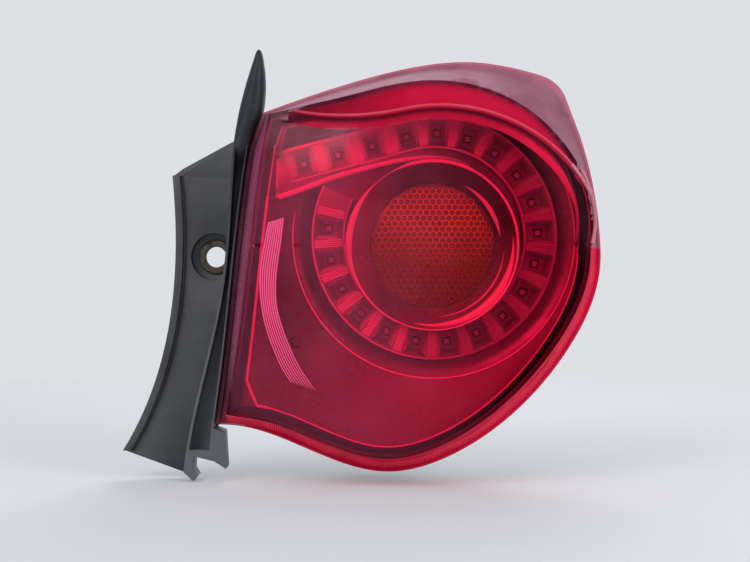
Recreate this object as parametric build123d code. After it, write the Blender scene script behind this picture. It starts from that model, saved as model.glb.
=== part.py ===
"""Right-hand tail light cluster of a small hatchback, in millimetres.

X points outboard, Z points up and the rear of the car lies towards -Y. A height is a distance
towards the rear, measured from the seat of the fixing screw, which holds the origin.
"""
import os
from math import atan2, cos, hypot, radians, sin

from build123d import *

# Outline of the lens at its foot, clockwise from the lower inboard corner, as (X, Z)
INBOARD_EDGE = [(1.5, -101.0), (9.0, -44.0), (16.5, 25.0), (22.0, 64.0)]
CROWN_EDGE = [
    (30.5, 86.5), (54.0, 95.0), (77.0, 102.5), (122.0, 114.0), (158.0, 116.7), (190.0, 111.0),
    (204.0, 105.5), (210.5, 98.5), (214.0, 90.0), (219.0, 77.0), (230.0, 34.0), (233.0, 4.0),
]
BELLY_EDGE = [
    (231.0, -17.0), (214.5, -54.0), (184.0, -91.0), (143.0, -119.5), (105.5, -129.3),
    (71.0, -121.5), (36.0, -107.0),
]

# Lens
JOINT_H = 18.0           # weld line between lens and housing
WAIST_H = 52.0           # where the brow starts
LENS_WALL = 3.0
LIP_WIDTH = 1.5          # foot of the lens outside its wall
LIP_THICK = 3.0
WALL_LEAN = 0.27         # inward run of the side wall for each millimetre of height
BROW_RADIUS = 95.0       # at the waist, about the lamp axis
BROW_LEAN = 1.4
BROW_LAND = 2.0          # how far the crown wall stands outside the brow at the waist
BROW_TURN = 103.0        # degrees, where the brow runs straight on towards the car's middle
DOME_TOP_H = 70.0
DOME_X = 126.0
DOME_ACROSS_RADIUS = 280.0
DOME_UPRIGHT_RADIUS = 520.0
LENS_CEILING = 76.0      # above every point of the lens

# Turn signal, on the lamp axis
LAMP_X = 131.5
LAMP_Z = 6.0
TURN_LENS_RADIUS = 36.5
TURN_LENS_RISE = 6.0
TURN_LENS_THICK = 2.0
TURN_FLANGE_WIDTH = 7.0
HALF_WAY_RISE = 0.75     # share of a shallow dome's rise that is left half way out
BOWL_WIDTH = 13.5        # from the turn lens to the rim of the bright bowl round it
BOWL_FOOT = 5.0
BOWL_RIM_H = 48.0
BOWL_WALL = 1.6
NECK_RADIUS = 15.0       # hole in the bottom of the turn reflector
NECK_H = -8.0
REFLECTOR_WALL = 2.0
REFLECTOR_BULGE = (0.8, 0.36)        # point on its curve: share of mouth radius, share of depth
BULB_RADIUS = 10.0
BULB_TIP_RADIUS = 5.0
BULB_H = 18.0            # tip of the bulb
BULB_BASE = (15.0, 6.0)

# LED band: a ring that runs on straight towards the car's middle
BAND_SHIFT_X = 0.5       # middle of the ring, from the lamp axis
BAND_SHIFT_Z = 5.0
BAND_REACH = 25.5        # from the turn lens to the middle of the band
BAND_WIDTH = 20.0
BAND_START = 105.0       # degrees, where the straight tail leaves the ring
BAND_SWEEP = 290.0       # degrees of ring, clockwise
RING_LEDS = 18
TAIL_LEDS = 3
TAIL_PITCH = 21.0
TAIL_END = 10.0          # length of tail past its last LED
BAND_H = 42.0
CELL_MOUTH = (17.0, 13.5)            # one LED's reflector cell, across and along the band
CELL_FOOT = (10.0, 8.0)
LED_SIDE = 5.0
LED_THICK = 1.5
BOARD_H = 29.0           # front face of the circuit board
BOARD_THICK = 1.6
BOARD_MARGIN = 5.0       # board outside the LED ring
BOARD_TAIL_MARGIN = 2.0
BOARD_CLEAR = 1.0        # board round the turn reflector
PLATE_THICK = 3.0        # base plate of the LED reflector
PLATE_MARGIN = 4.0
PLATE_TAIL_MARGIN = 1.6
RESISTOR_SIZE = (6.4, 3.2)
RESISTOR_THICK = 0.8
STRING_LEDS = 3          # LEDs that share one resistor
SOCKET_SIZE = (8.0, 16.0)
SOCKET_HEIGHT = 9.0
SOCKET_WALL = 1.2
SOCKET_ANGLE = 215.0     # degrees about the LED ring's middle

# Bezel
BEZEL_H = 38.0
BEZEL_THICK = 2.0
BEZEL_INSET = 9.5        # from the lens's wall
BEZEL_CLEAR = 3.0        # under the lens's dome
BEZEL_SKIRT = 12.0
BEZEL_STEP = 11.0        # width of the sloping step down to the LED ring
BEZEL_TAIL_STEP = 2.0
BEZEL_GAP = 0.5
BEZEL_SCREWS = [(50.7, -50.8), (75.0, 80.0)]
BEZEL_BOSS_SIDE = 11.0
BEZEL_SEAT_H = 20.0      # foot of the bezel's bosses
FLANK_DEPTH = 6.0        # bright flank below the lens's brow
FLANK_CLEAR = 2.0        # under the lens's dome
FLANK_THICK = 1.6
FLANK_REACH = 70.0       # nearest the flank comes to the lamp axis

# Housing
BACK_H = -30.0
HOUSING_WALL = 2.5
RIM_INSET = 0.6          # from the lip's edge
RIM_THICK = 4.0
BUCKET_INSET = 4.0
BACK_SHARE = 0.76        # outline of the back over the outline of the rim
MIDDLE = (120.0, -5.0)   # point that the back shrinks towards
TURRET_RADIUS = 26.0
TURRET_BORE = 20.0
TURRET_H = -44.0
POST_WIDTH = 10.0
POST_LEDS = [1, 8, 15]               # the board rests on a post behind each of these LEDs
BACK_RIBS = 6
RIB_THICK = 2.0
RIB_HEIGHT = 9.0
RIB_LENGTH = 16.0

# Fixing flange beside the lens, as (X, Z)
FLANGE_EDGE = [(-25.3, 49.2), (-23.4, 0.0), (-30.9, -58.5), (-55.3, -117.4)]
FLANGE_FOOT = [(-15.5, -132.0), (-11.0, -118.0), (1.0, -103.0)]
FLANGE_ROOT = [(16.0, -94.0), (22.0, -44.0), (29.0, 25.0), (33.0, 66.0), (32.0, 74.0)]
FLANGE_TOP = [(10.1, 69.9), (-19.5, 53.8)]
FLANGE_H = 11.0
FLANGE_THICK = 3.0
FLANGE_BEVEL = 2.2
LIP_STRIP = 4.3          # raised edge of the flange
LIP_STRIP_H = 15.0
GROOVE_WIDTH = 1.8
GROOVE_DEPTH = 1.4
POCKET_RADIUS = 14.5     # recess for the head of the fixing screw
POCKET_WALL = 3.0
POCKET_FLOOR = 3.0
BUSH_BORE = 6.25
BUSH_RADIUS = 10.3
BUSH_PROUD = 1.5         # bush above the pocket's floor

# Trim strip between flange and lens, as (X, Z)
STRIP_EDGE = [
    (28.2, 123.5), (21.7, 108.4), (14.2, 76.3), (10.2, 27.5), (5.5, -21.0), (-5.6, -71.5),
    (-14.1, -109.8), (-16.7, -128.3),
]
STRIP_FOOT = [(-10.6, -133.8), (-8.6, -131.2), (-11.0, -127.1), (-10.6, -119.0)]
STRIP_TAB = [(1.7, -122.0), (8.8, -126.5), (7.5, -104.6), (1.0, -102.2)]
FIN_EDGE = [(30.2, 88.2), (31.8, 103.0), (28.2, 123.5)]
STRIP_H = 30.0
STRIP_GAP = 0.4
RIDGE_WIDTH = 1.6
STRIP_CHAMFER = 1.0      # along its free edges
STRIP_WALL = 1.0
CHANNEL_FLOOR_H = 17.0
CHANNEL_TOP_Z = 66.0
CHANNEL_END_Z = -115.5
FIN_START_Z = 76.0
FIN_TIP_Z = 124.0
FIN_THICK = 7.0          # at its tip

# Bulb holder
HOLDER_RADIUS = 25.0
HOLDER_FLANGE = 3.5
HOLDER_SPIGOT_CLEAR = 0.4
HOLDER_SPIGOT_H = -31.0
HOLDER_GRIP = 40.0
HOLDER_GRIP_H = -62.0
HOLDER_WING = 5.0
HOLDER_WING_TURNS = (30.0, 120.0)    # degrees
SOCKET_DEPTH = 8.0
SEAL_THICK = 1.5
SOCKET_CLEAR = 0.1

# Connector on the back
CONNECTOR_X = 75.0
CONNECTOR_Z = -45.0
CONNECTOR_LENGTH = 30.0
CONNECTOR_WIDTH = 18.0
CONNECTOR_WALL = 2.0
CONNECTOR_DEPTH = 16.0
CONNECTOR_RIM = 3.0
PIN_ROWS = 2
PIN_COUNT = 3
PIN_PITCH = 7.0
PIN_SIDE = 1.5
PIN_LENGTH = 8.0
PIN_TAIL = 6.0

# Locating studs on the back
STUDS = [(184.0, 40.0), (163.0, -58.0)]
STUD_RADIUS = 4.0
STUD_LENGTH = 20.0
STUD_HEX_RADIUS = 7.0
STUD_HEX = 4.0
STUD_SHANK_SIDE = 5.0
STUD_SHANK = 11.0
STUD_CLEAR = 0.1
STUD_BOSS = 14.0
STUD_BOSS_SIDE = 12.0

# Screws
SCREW_RADIUS = 1.7
SCREW_HEAD_RADIUS = 3.4  # over the corners of its six sides
SCREW_HEAD = 2.2
SCREW_LENGTH = 9.0
SCREW_CLEAR = 0.4

# Worked out from the sizes above
LENS_RIM = INBOARD_EDGE + CROWN_EDGE + BELLY_EDGE
CORNER = len(INBOARD_EDGE) - 1
CROWN = CORNER + 1
TIP = CORNER + len(CROWN_EDGE)
RIM_SPANS = [(0, CORNER), (CORNER, CROWN), (CROWN, TIP), (TIP, len(LENS_RIM))]
BAND_X = LAMP_X + BAND_SHIFT_X
BAND_Z = LAMP_Z + BAND_SHIFT_Z
BAND_RADIUS = TURN_LENS_RADIUS + BAND_REACH
BOARD_FOOT = BOARD_H - BOARD_THICK
PLATE_H = BOARD_H + PLATE_THICK
TURN_SEAT = BOARD_H + REFLECTOR_WALL
BOWL_SEAT = TURN_SEAT + TURN_LENS_THICK
TURN_FLANGE_RADIUS = TURN_LENS_RADIUS + TURN_FLANGE_WIDTH
BAND_INNER = BAND_RADIUS - BAND_WIDTH / 2
BAND_OUTER = BAND_RADIUS + BAND_WIDTH / 2
TAIL_LENGTH = TAIL_LEDS * TAIL_PITCH + TAIL_END
CAVITY_FLOOR = BACK_H + HOUSING_WALL
HOLDER_H = TURRET_H - SEAL_THICK
FRONT_BASE = (Align.CENTER, Align.CENTER, Align.MIN)
FACE_UP = (Align.CENTER, Align.MIN)
REARWARD = (0, -1, 0)


# Shapes in the lamp's own terms

def front(height, x=0.0, z=0.0):
    """Plane that faces the rear of the car at a height."""
    return Plane(origin=(x, -height, z), x_dir=(1, 0, 0), z_dir=(0, -1, 0))


def rod(radius, low, high, x, z):
    return front(low, x, z) * Cylinder(radius, high - low, align=FRONT_BASE)


def tube(outer, inner, low, high, x, z):
    return rod(outer, low, high, x, z) - rod(inner, low - 1, high + 1, x, z)


def block(length, width, low, high, x, z, turn=0.0):
    shape = Rot(0, 0, turn) * Box(length, width, high - low, align=FRONT_BASE)
    return front(low, x, z) * shape


def turned(profile, x=LAMP_X, z=LAMP_Z):
    """Solid of revolution from a closed profile of (radius, height) edges."""
    plane = Plane(origin=(x, 0, z), x_dir=(1, 0, 0), z_dir=(0, 0, -1))
    return revolve(plane * make_face(profile), Axis((x, 0, z), (0, -1, 0)))


def ring(points):
    return Polyline(*points, close=True)


def slab(face_2d, low, high):
    return extrude(front(low) * face_2d, high - low)


def on_band(angle, radius):
    """Point (X, Z) about the middle of the LED ring."""
    return BAND_X + radius * cos(radians(angle)), BAND_Z + radius * sin(radians(angle))


def led_places():
    """Places of the LEDs as (X, Z, turn in degrees), the ring's first and then the tail's."""
    angles = [ring_angle(led) for led in range(RING_LEDS)]
    places = [(*on_band(angle, BAND_RADIUS), angle) for angle in angles]
    start_x, start_z = on_band(BAND_START, BAND_RADIUS)
    along = radians(BAND_START + 90)
    for i in range(1, TAIL_LEDS + 1):
        run = i * TAIL_PITCH
        places.append((start_x + run * cos(along), start_z + run * sin(along), BAND_START))
    return places


def tail_face(margin):
    tail = Pos(0, BAND_RADIUS) * Rectangle(
        TAIL_LENGTH + margin, BAND_WIDTH + 2 * margin, align=(Align.MAX, Align.CENTER))
    return Pos(BAND_X, BAND_Z) * Rot(0, 0, BAND_START - 90) * tail


def band_disc(margin, tail_margin):
    """All that the LED ring goes round, and the band's tail, each wider by a margin."""
    return Pos(BAND_X, BAND_Z) * Circle(BAND_OUTER + margin) + tail_face(tail_margin)


def band_face():
    """LED band seen from the rear: most of a ring, and its tail."""
    gap = 360 - BAND_SWEEP - 360 / RING_LEDS
    reach = 2 * BAND_OUTER
    edges = [BAND_START, BAND_START + gap / 2, BAND_START + gap]
    fan = [(reach * cos(radians(a)), reach * sin(radians(a))) for a in edges]
    face = Circle(BAND_OUTER) - Circle(BAND_INNER) - make_face(ring([(0, 0)] + fan))
    return Pos(BAND_X, BAND_Z) * face + tail_face(0.0)


# Outline of the lens at any height and inset

def inward_normals(points):
    """Mitred unit normals that point into a clockwise loop."""
    normals = []
    for i, (x, z) in enumerate(points):
        before_x, before_z = x - points[i - 1][0], z - points[i - 1][1]
        after_x = points[(i + 1) % len(points)][0] - x
        after_z = points[(i + 1) % len(points)][1] - z
        before = hypot(before_x, before_z)
        after = hypot(after_x, after_z)
        mid_x = before_z / before + after_z / after
        mid_z = -before_x / before - after_x / after
        scale = 2 / (mid_x ** 2 + mid_z ** 2)
        normals.append((mid_x * scale, mid_z * scale))
    return normals


def rim_points(inset):
    normals = inward_normals(LENS_RIM)
    return [(x + nx * inset, z + nz * inset) for (x, z), (nx, nz) in zip(LENS_RIM, normals)]


def brow_point(point, radius):
    """Where the ray from the lamp axis to a rim point meets the brow's arc and straight run."""
    run_x, run_z = point[0] - LAMP_X, point[1] - LAMP_Z
    turn = radians(BROW_TURN)
    reach = hypot(run_x, run_z)
    if atan2(run_z, run_x) > turn:
        reach = run_x * cos(turn) + run_z * sin(turn)
    return LAMP_X + run_x * radius / reach, LAMP_Z + run_z * radius / reach


def waist_points(height, inset):
    points = rim_points((height - JOINT_H) * WALL_LEAN + inset)
    radius = BROW_RADIUS + BROW_LAND - (height - WAIST_H) * WALL_LEAN - inset
    for i in range(CROWN, TIP):
        points[i] = brow_point(LENS_RIM[i], radius)
    return points


def skin_points(height, inset):
    """Outline of the lens's wall between its foot and its waist, moved inwards by an inset."""
    share = (height - JOINT_H) / (WAIST_H - JOINT_H)
    pairs = zip(rim_points(inset), waist_points(WAIST_H, inset))
    return [(a + (c - a) * share, b + (d - b) * share) for (a, b), (c, d) in pairs]


def shrunk_points(share):
    x, z = MIDDLE
    return [(x + (a - x) * share, z + (b - z) * share) for a, b in LENS_RIM]


def outline(height, points):
    """Face inside an outline: inboard edge, clipped corner, crown and belly."""
    plane = front(height)
    edges = []
    for start, end in RIM_SPANS:
        run = [plane.from_local_coords((*points[i % len(points)], 0)) for i in range(start, end + 1)]
        edges.append(Line(*run) if len(run) == 2 else Spline(*run))
    return Face(Wire(edges))


def wall_body(inset, foot):
    sections = [
        outline(foot, rim_points(inset)),
        outline(WAIST_H, waist_points(WAIST_H, inset)),
        outline(LENS_CEILING, waist_points(LENS_CEILING, inset)),
    ]
    return loft(sections, ruled=True)


def brow_face(radius):
    """Area that the brow goes round: an arc about the lamp axis with a straight run inboard."""
    turn = radians(BROW_TURN)
    far = 3 * BROW_RADIUS
    leave = (LAMP_X + radius * cos(turn), LAMP_Z + radius * sin(turn))
    middle = (LAMP_X + radius * cos(turn / 2), LAMP_Z + radius * sin(turn / 2))
    end = (LAMP_X + radius, LAMP_Z)
    away = (leave[0] - far * sin(turn), leave[1] + far * cos(turn))
    corners = [leave, away, (away[0], -far), (end[0], -far), end]
    return make_face([ThreePointArc(end, middle, leave), Polyline(*corners)])


def brow_body(inset):
    """Body under the brow: a cone about the lamp axis that runs out into a sloping plane."""
    sections = []
    for height in (0.0, LENS_CEILING + 1):
        radius = BROW_RADIUS - (height - WAIST_H) * BROW_LEAN - inset * hypot(1, BROW_LEAN)
        sections.append(front(height) * brow_face(radius))
    return loft(sections, ruled=True)


def dome_body(inset):
    """Wide shallow dome of the lens's face, flatter upright than across."""
    place = Pos(DOME_X, DOME_UPRIGHT_RADIUS - DOME_TOP_H, 0) * Rot(0, 90, 0)
    across = DOME_ACROSS_RADIUS
    return place * Torus(DOME_UPRIGHT_RADIUS - across, across - inset)


def lens_body(wall, foot):
    return wall_body(LIP_WIDTH + wall, foot) & brow_body(wall) & dome_body(wall)


# Lens, housing and trim

def outer_lens():
    lip = extrude(outline(JOINT_H, rim_points(0.0)), LIP_THICK, dir=REARWARD)
    return lens_body(0.0, JOINT_H) + lip - lens_body(LENS_WALL, JOINT_H - 1)


def bucket(inset, back_share, floor, mouth):
    sections = [outline(mouth, rim_points(inset)), outline(floor, shrunk_points(back_share))]
    return loft(sections, ruled=True)


def ring_angle(led):
    return BAND_START - led * BAND_SWEEP / (RING_LEDS - 1)


def board_posts():
    """Places (X, Z) of the posts that the board rests on."""
    return [on_band(ring_angle(led), BAND_OUTER) for led in POST_LEDS]


def flange():
    edges = [
        Spline(*FLANGE_EDGE),
        Polyline(FLANGE_EDGE[-1], *FLANGE_FOOT, *FLANGE_ROOT, *FLANGE_TOP, FLANGE_EDGE[0]),
    ]
    plate = slab(make_face(edges), FLANGE_H - FLANGE_THICK, FLANGE_H)
    low, high = FLANGE_TOP[1], FLANGE_TOP[0]
    middle = Vector((low[0] + high[0]) / 2, -FLANGE_H, (low[1] + high[1]) / 2)
    plate = chamfer(plate.edges().sort_by_distance(middle)[0], FLANGE_BEVEL)
    plate += flange_run(0.0, LIP_STRIP, FLANGE_H, LIP_STRIP_H)
    groove_end = LIP_STRIP + GROOVE_WIDTH
    plate -= flange_run(LIP_STRIP, groove_end, FLANGE_H - GROOVE_DEPTH, FLANGE_H + 1)
    plate += rod(POCKET_RADIUS + POCKET_WALL, 0.0, FLANGE_H - FLANGE_THICK, 0, 0)
    plate -= rod(POCKET_RADIUS, POCKET_FLOOR, LIP_STRIP_H, 0, 0)
    return plate - rod(BUSH_RADIUS, -1, FLANGE_H, 0, 0)


def flange_run(start, end, low, high):
    """Strip along the flange's free edge, between two distances from it."""
    near = [(x + start, z) for x, z in FLANGE_EDGE]
    far = [(x + end, z) for x, z in FLANGE_EDGE]
    edges = [Spline(*near), Line(near[-1], far[-1]), Spline(*far), Line(far[0], near[0])]
    return slab(make_face(edges), low, high)


def housing():
    outer = bucket(BUCKET_INSET, BACK_SHARE, BACK_H, JOINT_H)
    wall_share = HOUSING_WALL / (MIDDLE[0] - INBOARD_EDGE[1][0])
    cavity = bucket(BUCKET_INSET + HOUSING_WALL, BACK_SHARE - wall_share, CAVITY_FLOOR, JOINT_H)
    rim = extrude(outline(JOINT_H - RIM_THICK, rim_points(RIM_INSET)), RIM_THICK, dir=REARWARD)
    body = outer + rim + flange()
    body += rod(TURRET_RADIUS, TURRET_H, BACK_H, LAMP_X, LAMP_Z)
    for i in range(BACK_RIBS):
        place = front(BACK_H - RIB_HEIGHT, LAMP_X, LAMP_Z) * Rot(0, 0, (i + 0.5) * 360 / BACK_RIBS)
        rib = Box(RIB_LENGTH, RIB_THICK, RIB_HEIGHT, align=(Align.MIN, Align.CENTER, Align.MIN))
        body += place * Pos(TURRET_RADIUS - 1, 0, 0) * rib
    body -= cavity
    body -= rod(TURRET_BORE, TURRET_H - 1, CAVITY_FLOOR + 1, LAMP_X, LAMP_Z)
    body -= connector_hole()
    for x, z in board_posts():
        for turn in (0, 90):
            web = block(POST_WIDTH, RIB_THICK, CAVITY_FLOOR, BOARD_FOOT, x, z, turn)
            body += web & outer
    for x, z in BEZEL_SCREWS:
        body += block(BEZEL_BOSS_SIDE, BEZEL_BOSS_SIDE, CAVITY_FLOOR, BEZEL_SEAT_H, x, z) & outer
    for x, z in STUDS:
        body += block(STUD_BOSS_SIDE, STUD_BOSS_SIDE, CAVITY_FLOOR, BACK_H + STUD_BOSS, x, z) & outer
    for x, z in BEZEL_SCREWS:
        body -= rod(SCREW_RADIUS, bezel_screw_seat() - SCREW_LENGTH, BEZEL_H, x, z)
    for x, z in STUDS:
        side = STUD_SHANK_SIDE + STUD_CLEAR
        body -= block(side, side, BACK_H - 1, BACK_H + STUD_SHANK, x, z)
    return body


def trim_strip():
    """Soft trim with a channel along the lens and a blade that rises past its upper corner."""
    side = rim_points(-STRIP_GAP)[:CROWN + 1]
    edges = [
        Spline(*STRIP_EDGE),
        Polyline(STRIP_EDGE[-1], *STRIP_FOOT, *STRIP_TAB, side[0]),
        Spline(*side[:CORNER + 1]),
        Polyline(side[CORNER], side[CROWN], FIN_EDGE[0]),
        Spline(*FIN_EDGE),
    ]
    strip = slab(make_face(edges), FLANGE_H, STRIP_H)
    front_edges = strip.edges().group_by(Axis.Y)[0]
    free_edges = [front_edges.sort_by(SortBy.LENGTH)[-1], front_edges.sort_by(Axis.Z)[-1]]
    strip = chamfer(free_edges, STRIP_CHAMFER)
    left = [(x + RIDGE_WIDTH, z) for x, z in STRIP_EDGE]
    right = rim_points(-STRIP_GAP - STRIP_WALL)[:CORNER + 1]
    low_right = (right[0][0] - STRIP_WALL, CHANNEL_END_Z)
    edges = [
        Spline(*left),
        Polyline(left[-1], (low_right[0], left[-1][1]), low_right, right[0]),
        Spline(*right),
        Polyline(right[-1], (right[-1][0], left[0][1]), left[0]),
    ]
    channel = slab(make_face(edges), CHANNEL_FLOOR_H, STRIP_H + 1)
    span = CHANNEL_TOP_Z - CHANNEL_END_Z
    middle_z = (CHANNEL_TOP_Z + CHANNEL_END_Z) / 2
    strip -= channel & block(2 * span, span, FLANGE_H, STRIP_H + 1, 0, middle_z)
    wedge = [
        (-FLANGE_H + 1, FIN_START_Z), (-FLANGE_H + 1, FIN_TIP_Z),
        (-STRIP_H + FIN_THICK, FIN_TIP_Z), (-FLANGE_H, FIN_START_Z),
    ]
    back_cut = extrude(Plane.YZ * make_face(ring(wedge)), LAMP_X, both=True)
    return strip - back_cut


def fixing_bush():
    return tube(BUSH_RADIUS, BUSH_BORE, 0.0, POCKET_FLOOR + BUSH_PROUD, 0, 0)


# Bezel, LED band and board

def bezel_screw_seat():
    return BEZEL_SEAT_H + BEZEL_THICK


def funnel(wall):
    """Sloping mouth of the bezel, from its face down to the plate of the LED band."""
    sections = [
        front(PLATE_H) * band_disc(BEZEL_GAP + wall, BEZEL_GAP + wall),
        front(BEZEL_H) * band_disc(BEZEL_STEP + wall, BEZEL_TAIL_STEP + wall),
    ]
    return loft(sections, ruled=True)


def bezel_body(inset, low, high):
    sections = [outline(h, skin_points(h, LIP_WIDTH + inset)) for h in (low, high)]
    return loft(sections, ruled=True)


def inner_bezel():
    low = BEZEL_H - BEZEL_SKIRT
    ceiling = BEZEL_H - BEZEL_THICK
    shell = bezel_body(BEZEL_INSET, low, BEZEL_H) & dome_body(LENS_WALL + BEZEL_CLEAR)
    hollow = bezel_body(BEZEL_INSET + BEZEL_THICK, low - 1, ceiling)
    shell -= hollow & dome_body(LENS_WALL + BEZEL_CLEAR + BEZEL_THICK)
    shell += funnel(BEZEL_THICK)
    for x, z in BEZEL_SCREWS:
        shell += block(BEZEL_BOSS_SIDE, BEZEL_BOSS_SIDE, BEZEL_SEAT_H, ceiling, x, z)
    shell -= funnel(0.0)
    for x, z in BEZEL_SCREWS:
        shell -= rod(SCREW_HEAD_RADIUS + SCREW_CLEAR, bezel_screw_seat(), BEZEL_H + 1, x, z)
        shell -= rod(SCREW_RADIUS + SCREW_CLEAR, BEZEL_SEAT_H - 1, BEZEL_H, x, z)
    return shell


def flank_body(inset):
    wall = wall_body(LIP_WIDTH + BEZEL_INSET + inset, JOINT_H)
    return wall & brow_body(FLANK_DEPTH + inset)


def brow_flank():
    """Bright sloping flank that stands on the bezel under the lens's brow."""
    flank = flank_body(0.0) - flank_body(FLANK_THICK)
    flank &= dome_body(LENS_WALL + FLANK_CLEAR)
    far = 3 * BROW_RADIUS
    flank &= slab(Pos(LAMP_X, LAMP_Z) * Rectangle(2 * far, far, align=FACE_UP), BEZEL_H, LENS_CEILING)
    return flank - slab(brow_face(FLANK_REACH), BEZEL_H - 1, LENS_CEILING + 1)


def bezel_screws():
    seat = bezel_screw_seat()
    group = []
    for x, z in BEZEL_SCREWS:
        head = extrude(front(seat, x, z) * RegularPolygon(SCREW_HEAD_RADIUS, 6), SCREW_HEAD)
        group.append(head + rod(SCREW_RADIUS, seat - SCREW_LENGTH, seat, x, z))
    return Compound(children=group)


def led_reflector():
    plate = slab(band_disc(PLATE_MARGIN, PLATE_TAIL_MARGIN), BOARD_H, PLATE_H)
    plate += slab(band_face(), PLATE_H, BAND_H)
    for x, z, turn in led_places():
        mouth = front(BAND_H, x, z) * Rot(0, 0, turn) * Rectangle(*CELL_MOUTH)
        foot = front(BOARD_H, x, z) * Rot(0, 0, turn) * Rectangle(*CELL_FOOT)
        plate -= loft([foot, mouth], ruled=True)
    plate -= rod(TURN_FLANGE_RADIUS + BEZEL_GAP, BOARD_H - 1, BAND_H + 1, LAMP_X, LAMP_Z)
    return plate


def led_board():
    board = slab(band_disc(BOARD_MARGIN, BOARD_TAIL_MARGIN), BOARD_FOOT, BOARD_H)
    hole = TURN_LENS_RADIUS + REFLECTOR_WALL + BOARD_CLEAR
    return board - rod(hole, BOARD_FOOT - 1, BOARD_H + 1, LAMP_X, LAMP_Z)


def leds():
    high = BOARD_H + LED_THICK
    chips = [block(LED_SIDE, LED_SIDE, BOARD_H, high, x, z, turn) for x, z, turn in led_places()]
    return Compound(children=chips)


def board_resistors():
    """One resistor behind the middle LED of each string of three."""
    low = BOARD_FOOT - RESISTOR_THICK
    places = led_places()[STRING_LEDS // 2::STRING_LEDS]
    group = [block(*RESISTOR_SIZE, low, BOARD_FOOT, x, z, turn) for x, z, turn in places]
    return Compound(children=group)


def board_socket():
    """White socket on the back of the board, open towards the housing's back."""
    x, z = on_band(SOCKET_ANGLE, BAND_RADIUS)
    length, width = SOCKET_SIZE
    low = BOARD_FOOT - SOCKET_HEIGHT
    socket = block(length, width, low, BOARD_FOOT, x, z, SOCKET_ANGLE)
    wall = 2 * SOCKET_WALL
    return socket - block(
        length - wall, width - wall, low - 1, BOARD_FOOT - SOCKET_WALL, x, z, SOCKET_ANGLE)


# Turn signal

def turn_lens():
    top = TURN_SEAT + TURN_LENS_THICK
    crown = top + TURN_LENS_RISE
    half = TURN_LENS_RADIUS / 2
    outer_arc = ThreePointArc(
        (0, crown), (half, top + TURN_LENS_RISE * HALF_WAY_RISE), (TURN_LENS_RADIUS, top))
    inner_arc = ThreePointArc(
        (0, crown - TURN_LENS_THICK), (half, TURN_SEAT + TURN_LENS_RISE * HALF_WAY_RISE),
        (TURN_LENS_RADIUS, TURN_SEAT))
    flange_run = Polyline(
        (TURN_LENS_RADIUS, top), (TURN_FLANGE_RADIUS, top), (TURN_FLANGE_RADIUS, TURN_SEAT),
        (TURN_LENS_RADIUS, TURN_SEAT))
    return turned([outer_arc, flange_run, inner_arc, Line((0, crown), (0, crown - TURN_LENS_THICK))])


def turn_ring():
    inner_foot = TURN_LENS_RADIUS + BEZEL_GAP
    rim = TURN_LENS_RADIUS + BOWL_WIDTH
    profile = [
        (inner_foot, BOWL_SEAT), (TURN_LENS_RADIUS + BOWL_FOOT, BOWL_SEAT), (rim, BOWL_RIM_H),
        (rim - BOWL_WALL, BOWL_RIM_H), (inner_foot, BOWL_SEAT + BOWL_WALL),
    ]
    return turned(ring(profile))


def turn_reflector():
    wall = REFLECTOR_WALL
    mouth = TURN_LENS_RADIUS
    middle_r = mouth * REFLECTOR_BULGE[0]
    middle_h = NECK_H + (BOARD_H - NECK_H) * REFLECTOR_BULGE[1]
    edges = [
        Polyline((NECK_RADIUS, NECK_H), (NECK_RADIUS + wall, NECK_H)),
        ThreePointArc(
            (NECK_RADIUS + wall, NECK_H), (middle_r + wall, middle_h), (mouth + wall, BOARD_H)),
        Polyline(
            (mouth + wall, BOARD_H), (TURN_FLANGE_RADIUS, BOARD_H), (TURN_FLANGE_RADIUS, TURN_SEAT),
            (mouth, TURN_SEAT), (mouth, BOARD_H)),
        ThreePointArc((mouth, BOARD_H), (middle_r, middle_h), (NECK_RADIUS, NECK_H)),
    ]
    return turned(edges)


def turn_bulb():
    """Sealed tubular bulb on a flat push-in base."""
    shoulder = BULB_H - BULB_RADIUS + BULB_TIP_RADIUS
    profile = [
        (0, HOLDER_SPIGOT_H), (BULB_RADIUS, HOLDER_SPIGOT_H), (BULB_RADIUS, shoulder),
        (BULB_TIP_RADIUS, BULB_H), (0, BULB_H),
    ]
    base_h = HOLDER_SPIGOT_H - SOCKET_DEPTH
    return turned(ring(profile)) + block(*BULB_BASE, base_h, HOLDER_SPIGOT_H, LAMP_X, LAMP_Z)


def bulb_holder():
    body = rod(HOLDER_RADIUS, HOLDER_H - HOLDER_FLANGE, HOLDER_H, LAMP_X, LAMP_Z)
    spigot = TURRET_BORE - HOLDER_SPIGOT_CLEAR
    body += rod(spigot, HOLDER_H, HOLDER_SPIGOT_H, LAMP_X, LAMP_Z)
    for turn in HOLDER_WING_TURNS:
        body += block(HOLDER_GRIP, HOLDER_WING, HOLDER_GRIP_H, HOLDER_H - 1, LAMP_X, LAMP_Z, turn)
    base_h = HOLDER_SPIGOT_H - SOCKET_DEPTH
    length, width = [side + SOCKET_CLEAR for side in BULB_BASE]
    return body - block(length, width, base_h, HOLDER_SPIGOT_H + 1, LAMP_X, LAMP_Z)


def bulb_holder_seal():
    return tube(HOLDER_RADIUS, TURRET_BORE, HOLDER_H, TURRET_H, LAMP_X, LAMP_Z)


# Back of the housing

def connector_hole():
    inner_length = CONNECTOR_LENGTH - 2 * CONNECTOR_WALL
    inner_width = CONNECTOR_WIDTH - 2 * CONNECTOR_WALL
    return block(inner_length, inner_width, BACK_H - 1, CAVITY_FLOOR + 1, CONNECTOR_X, CONNECTOR_Z)


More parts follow.
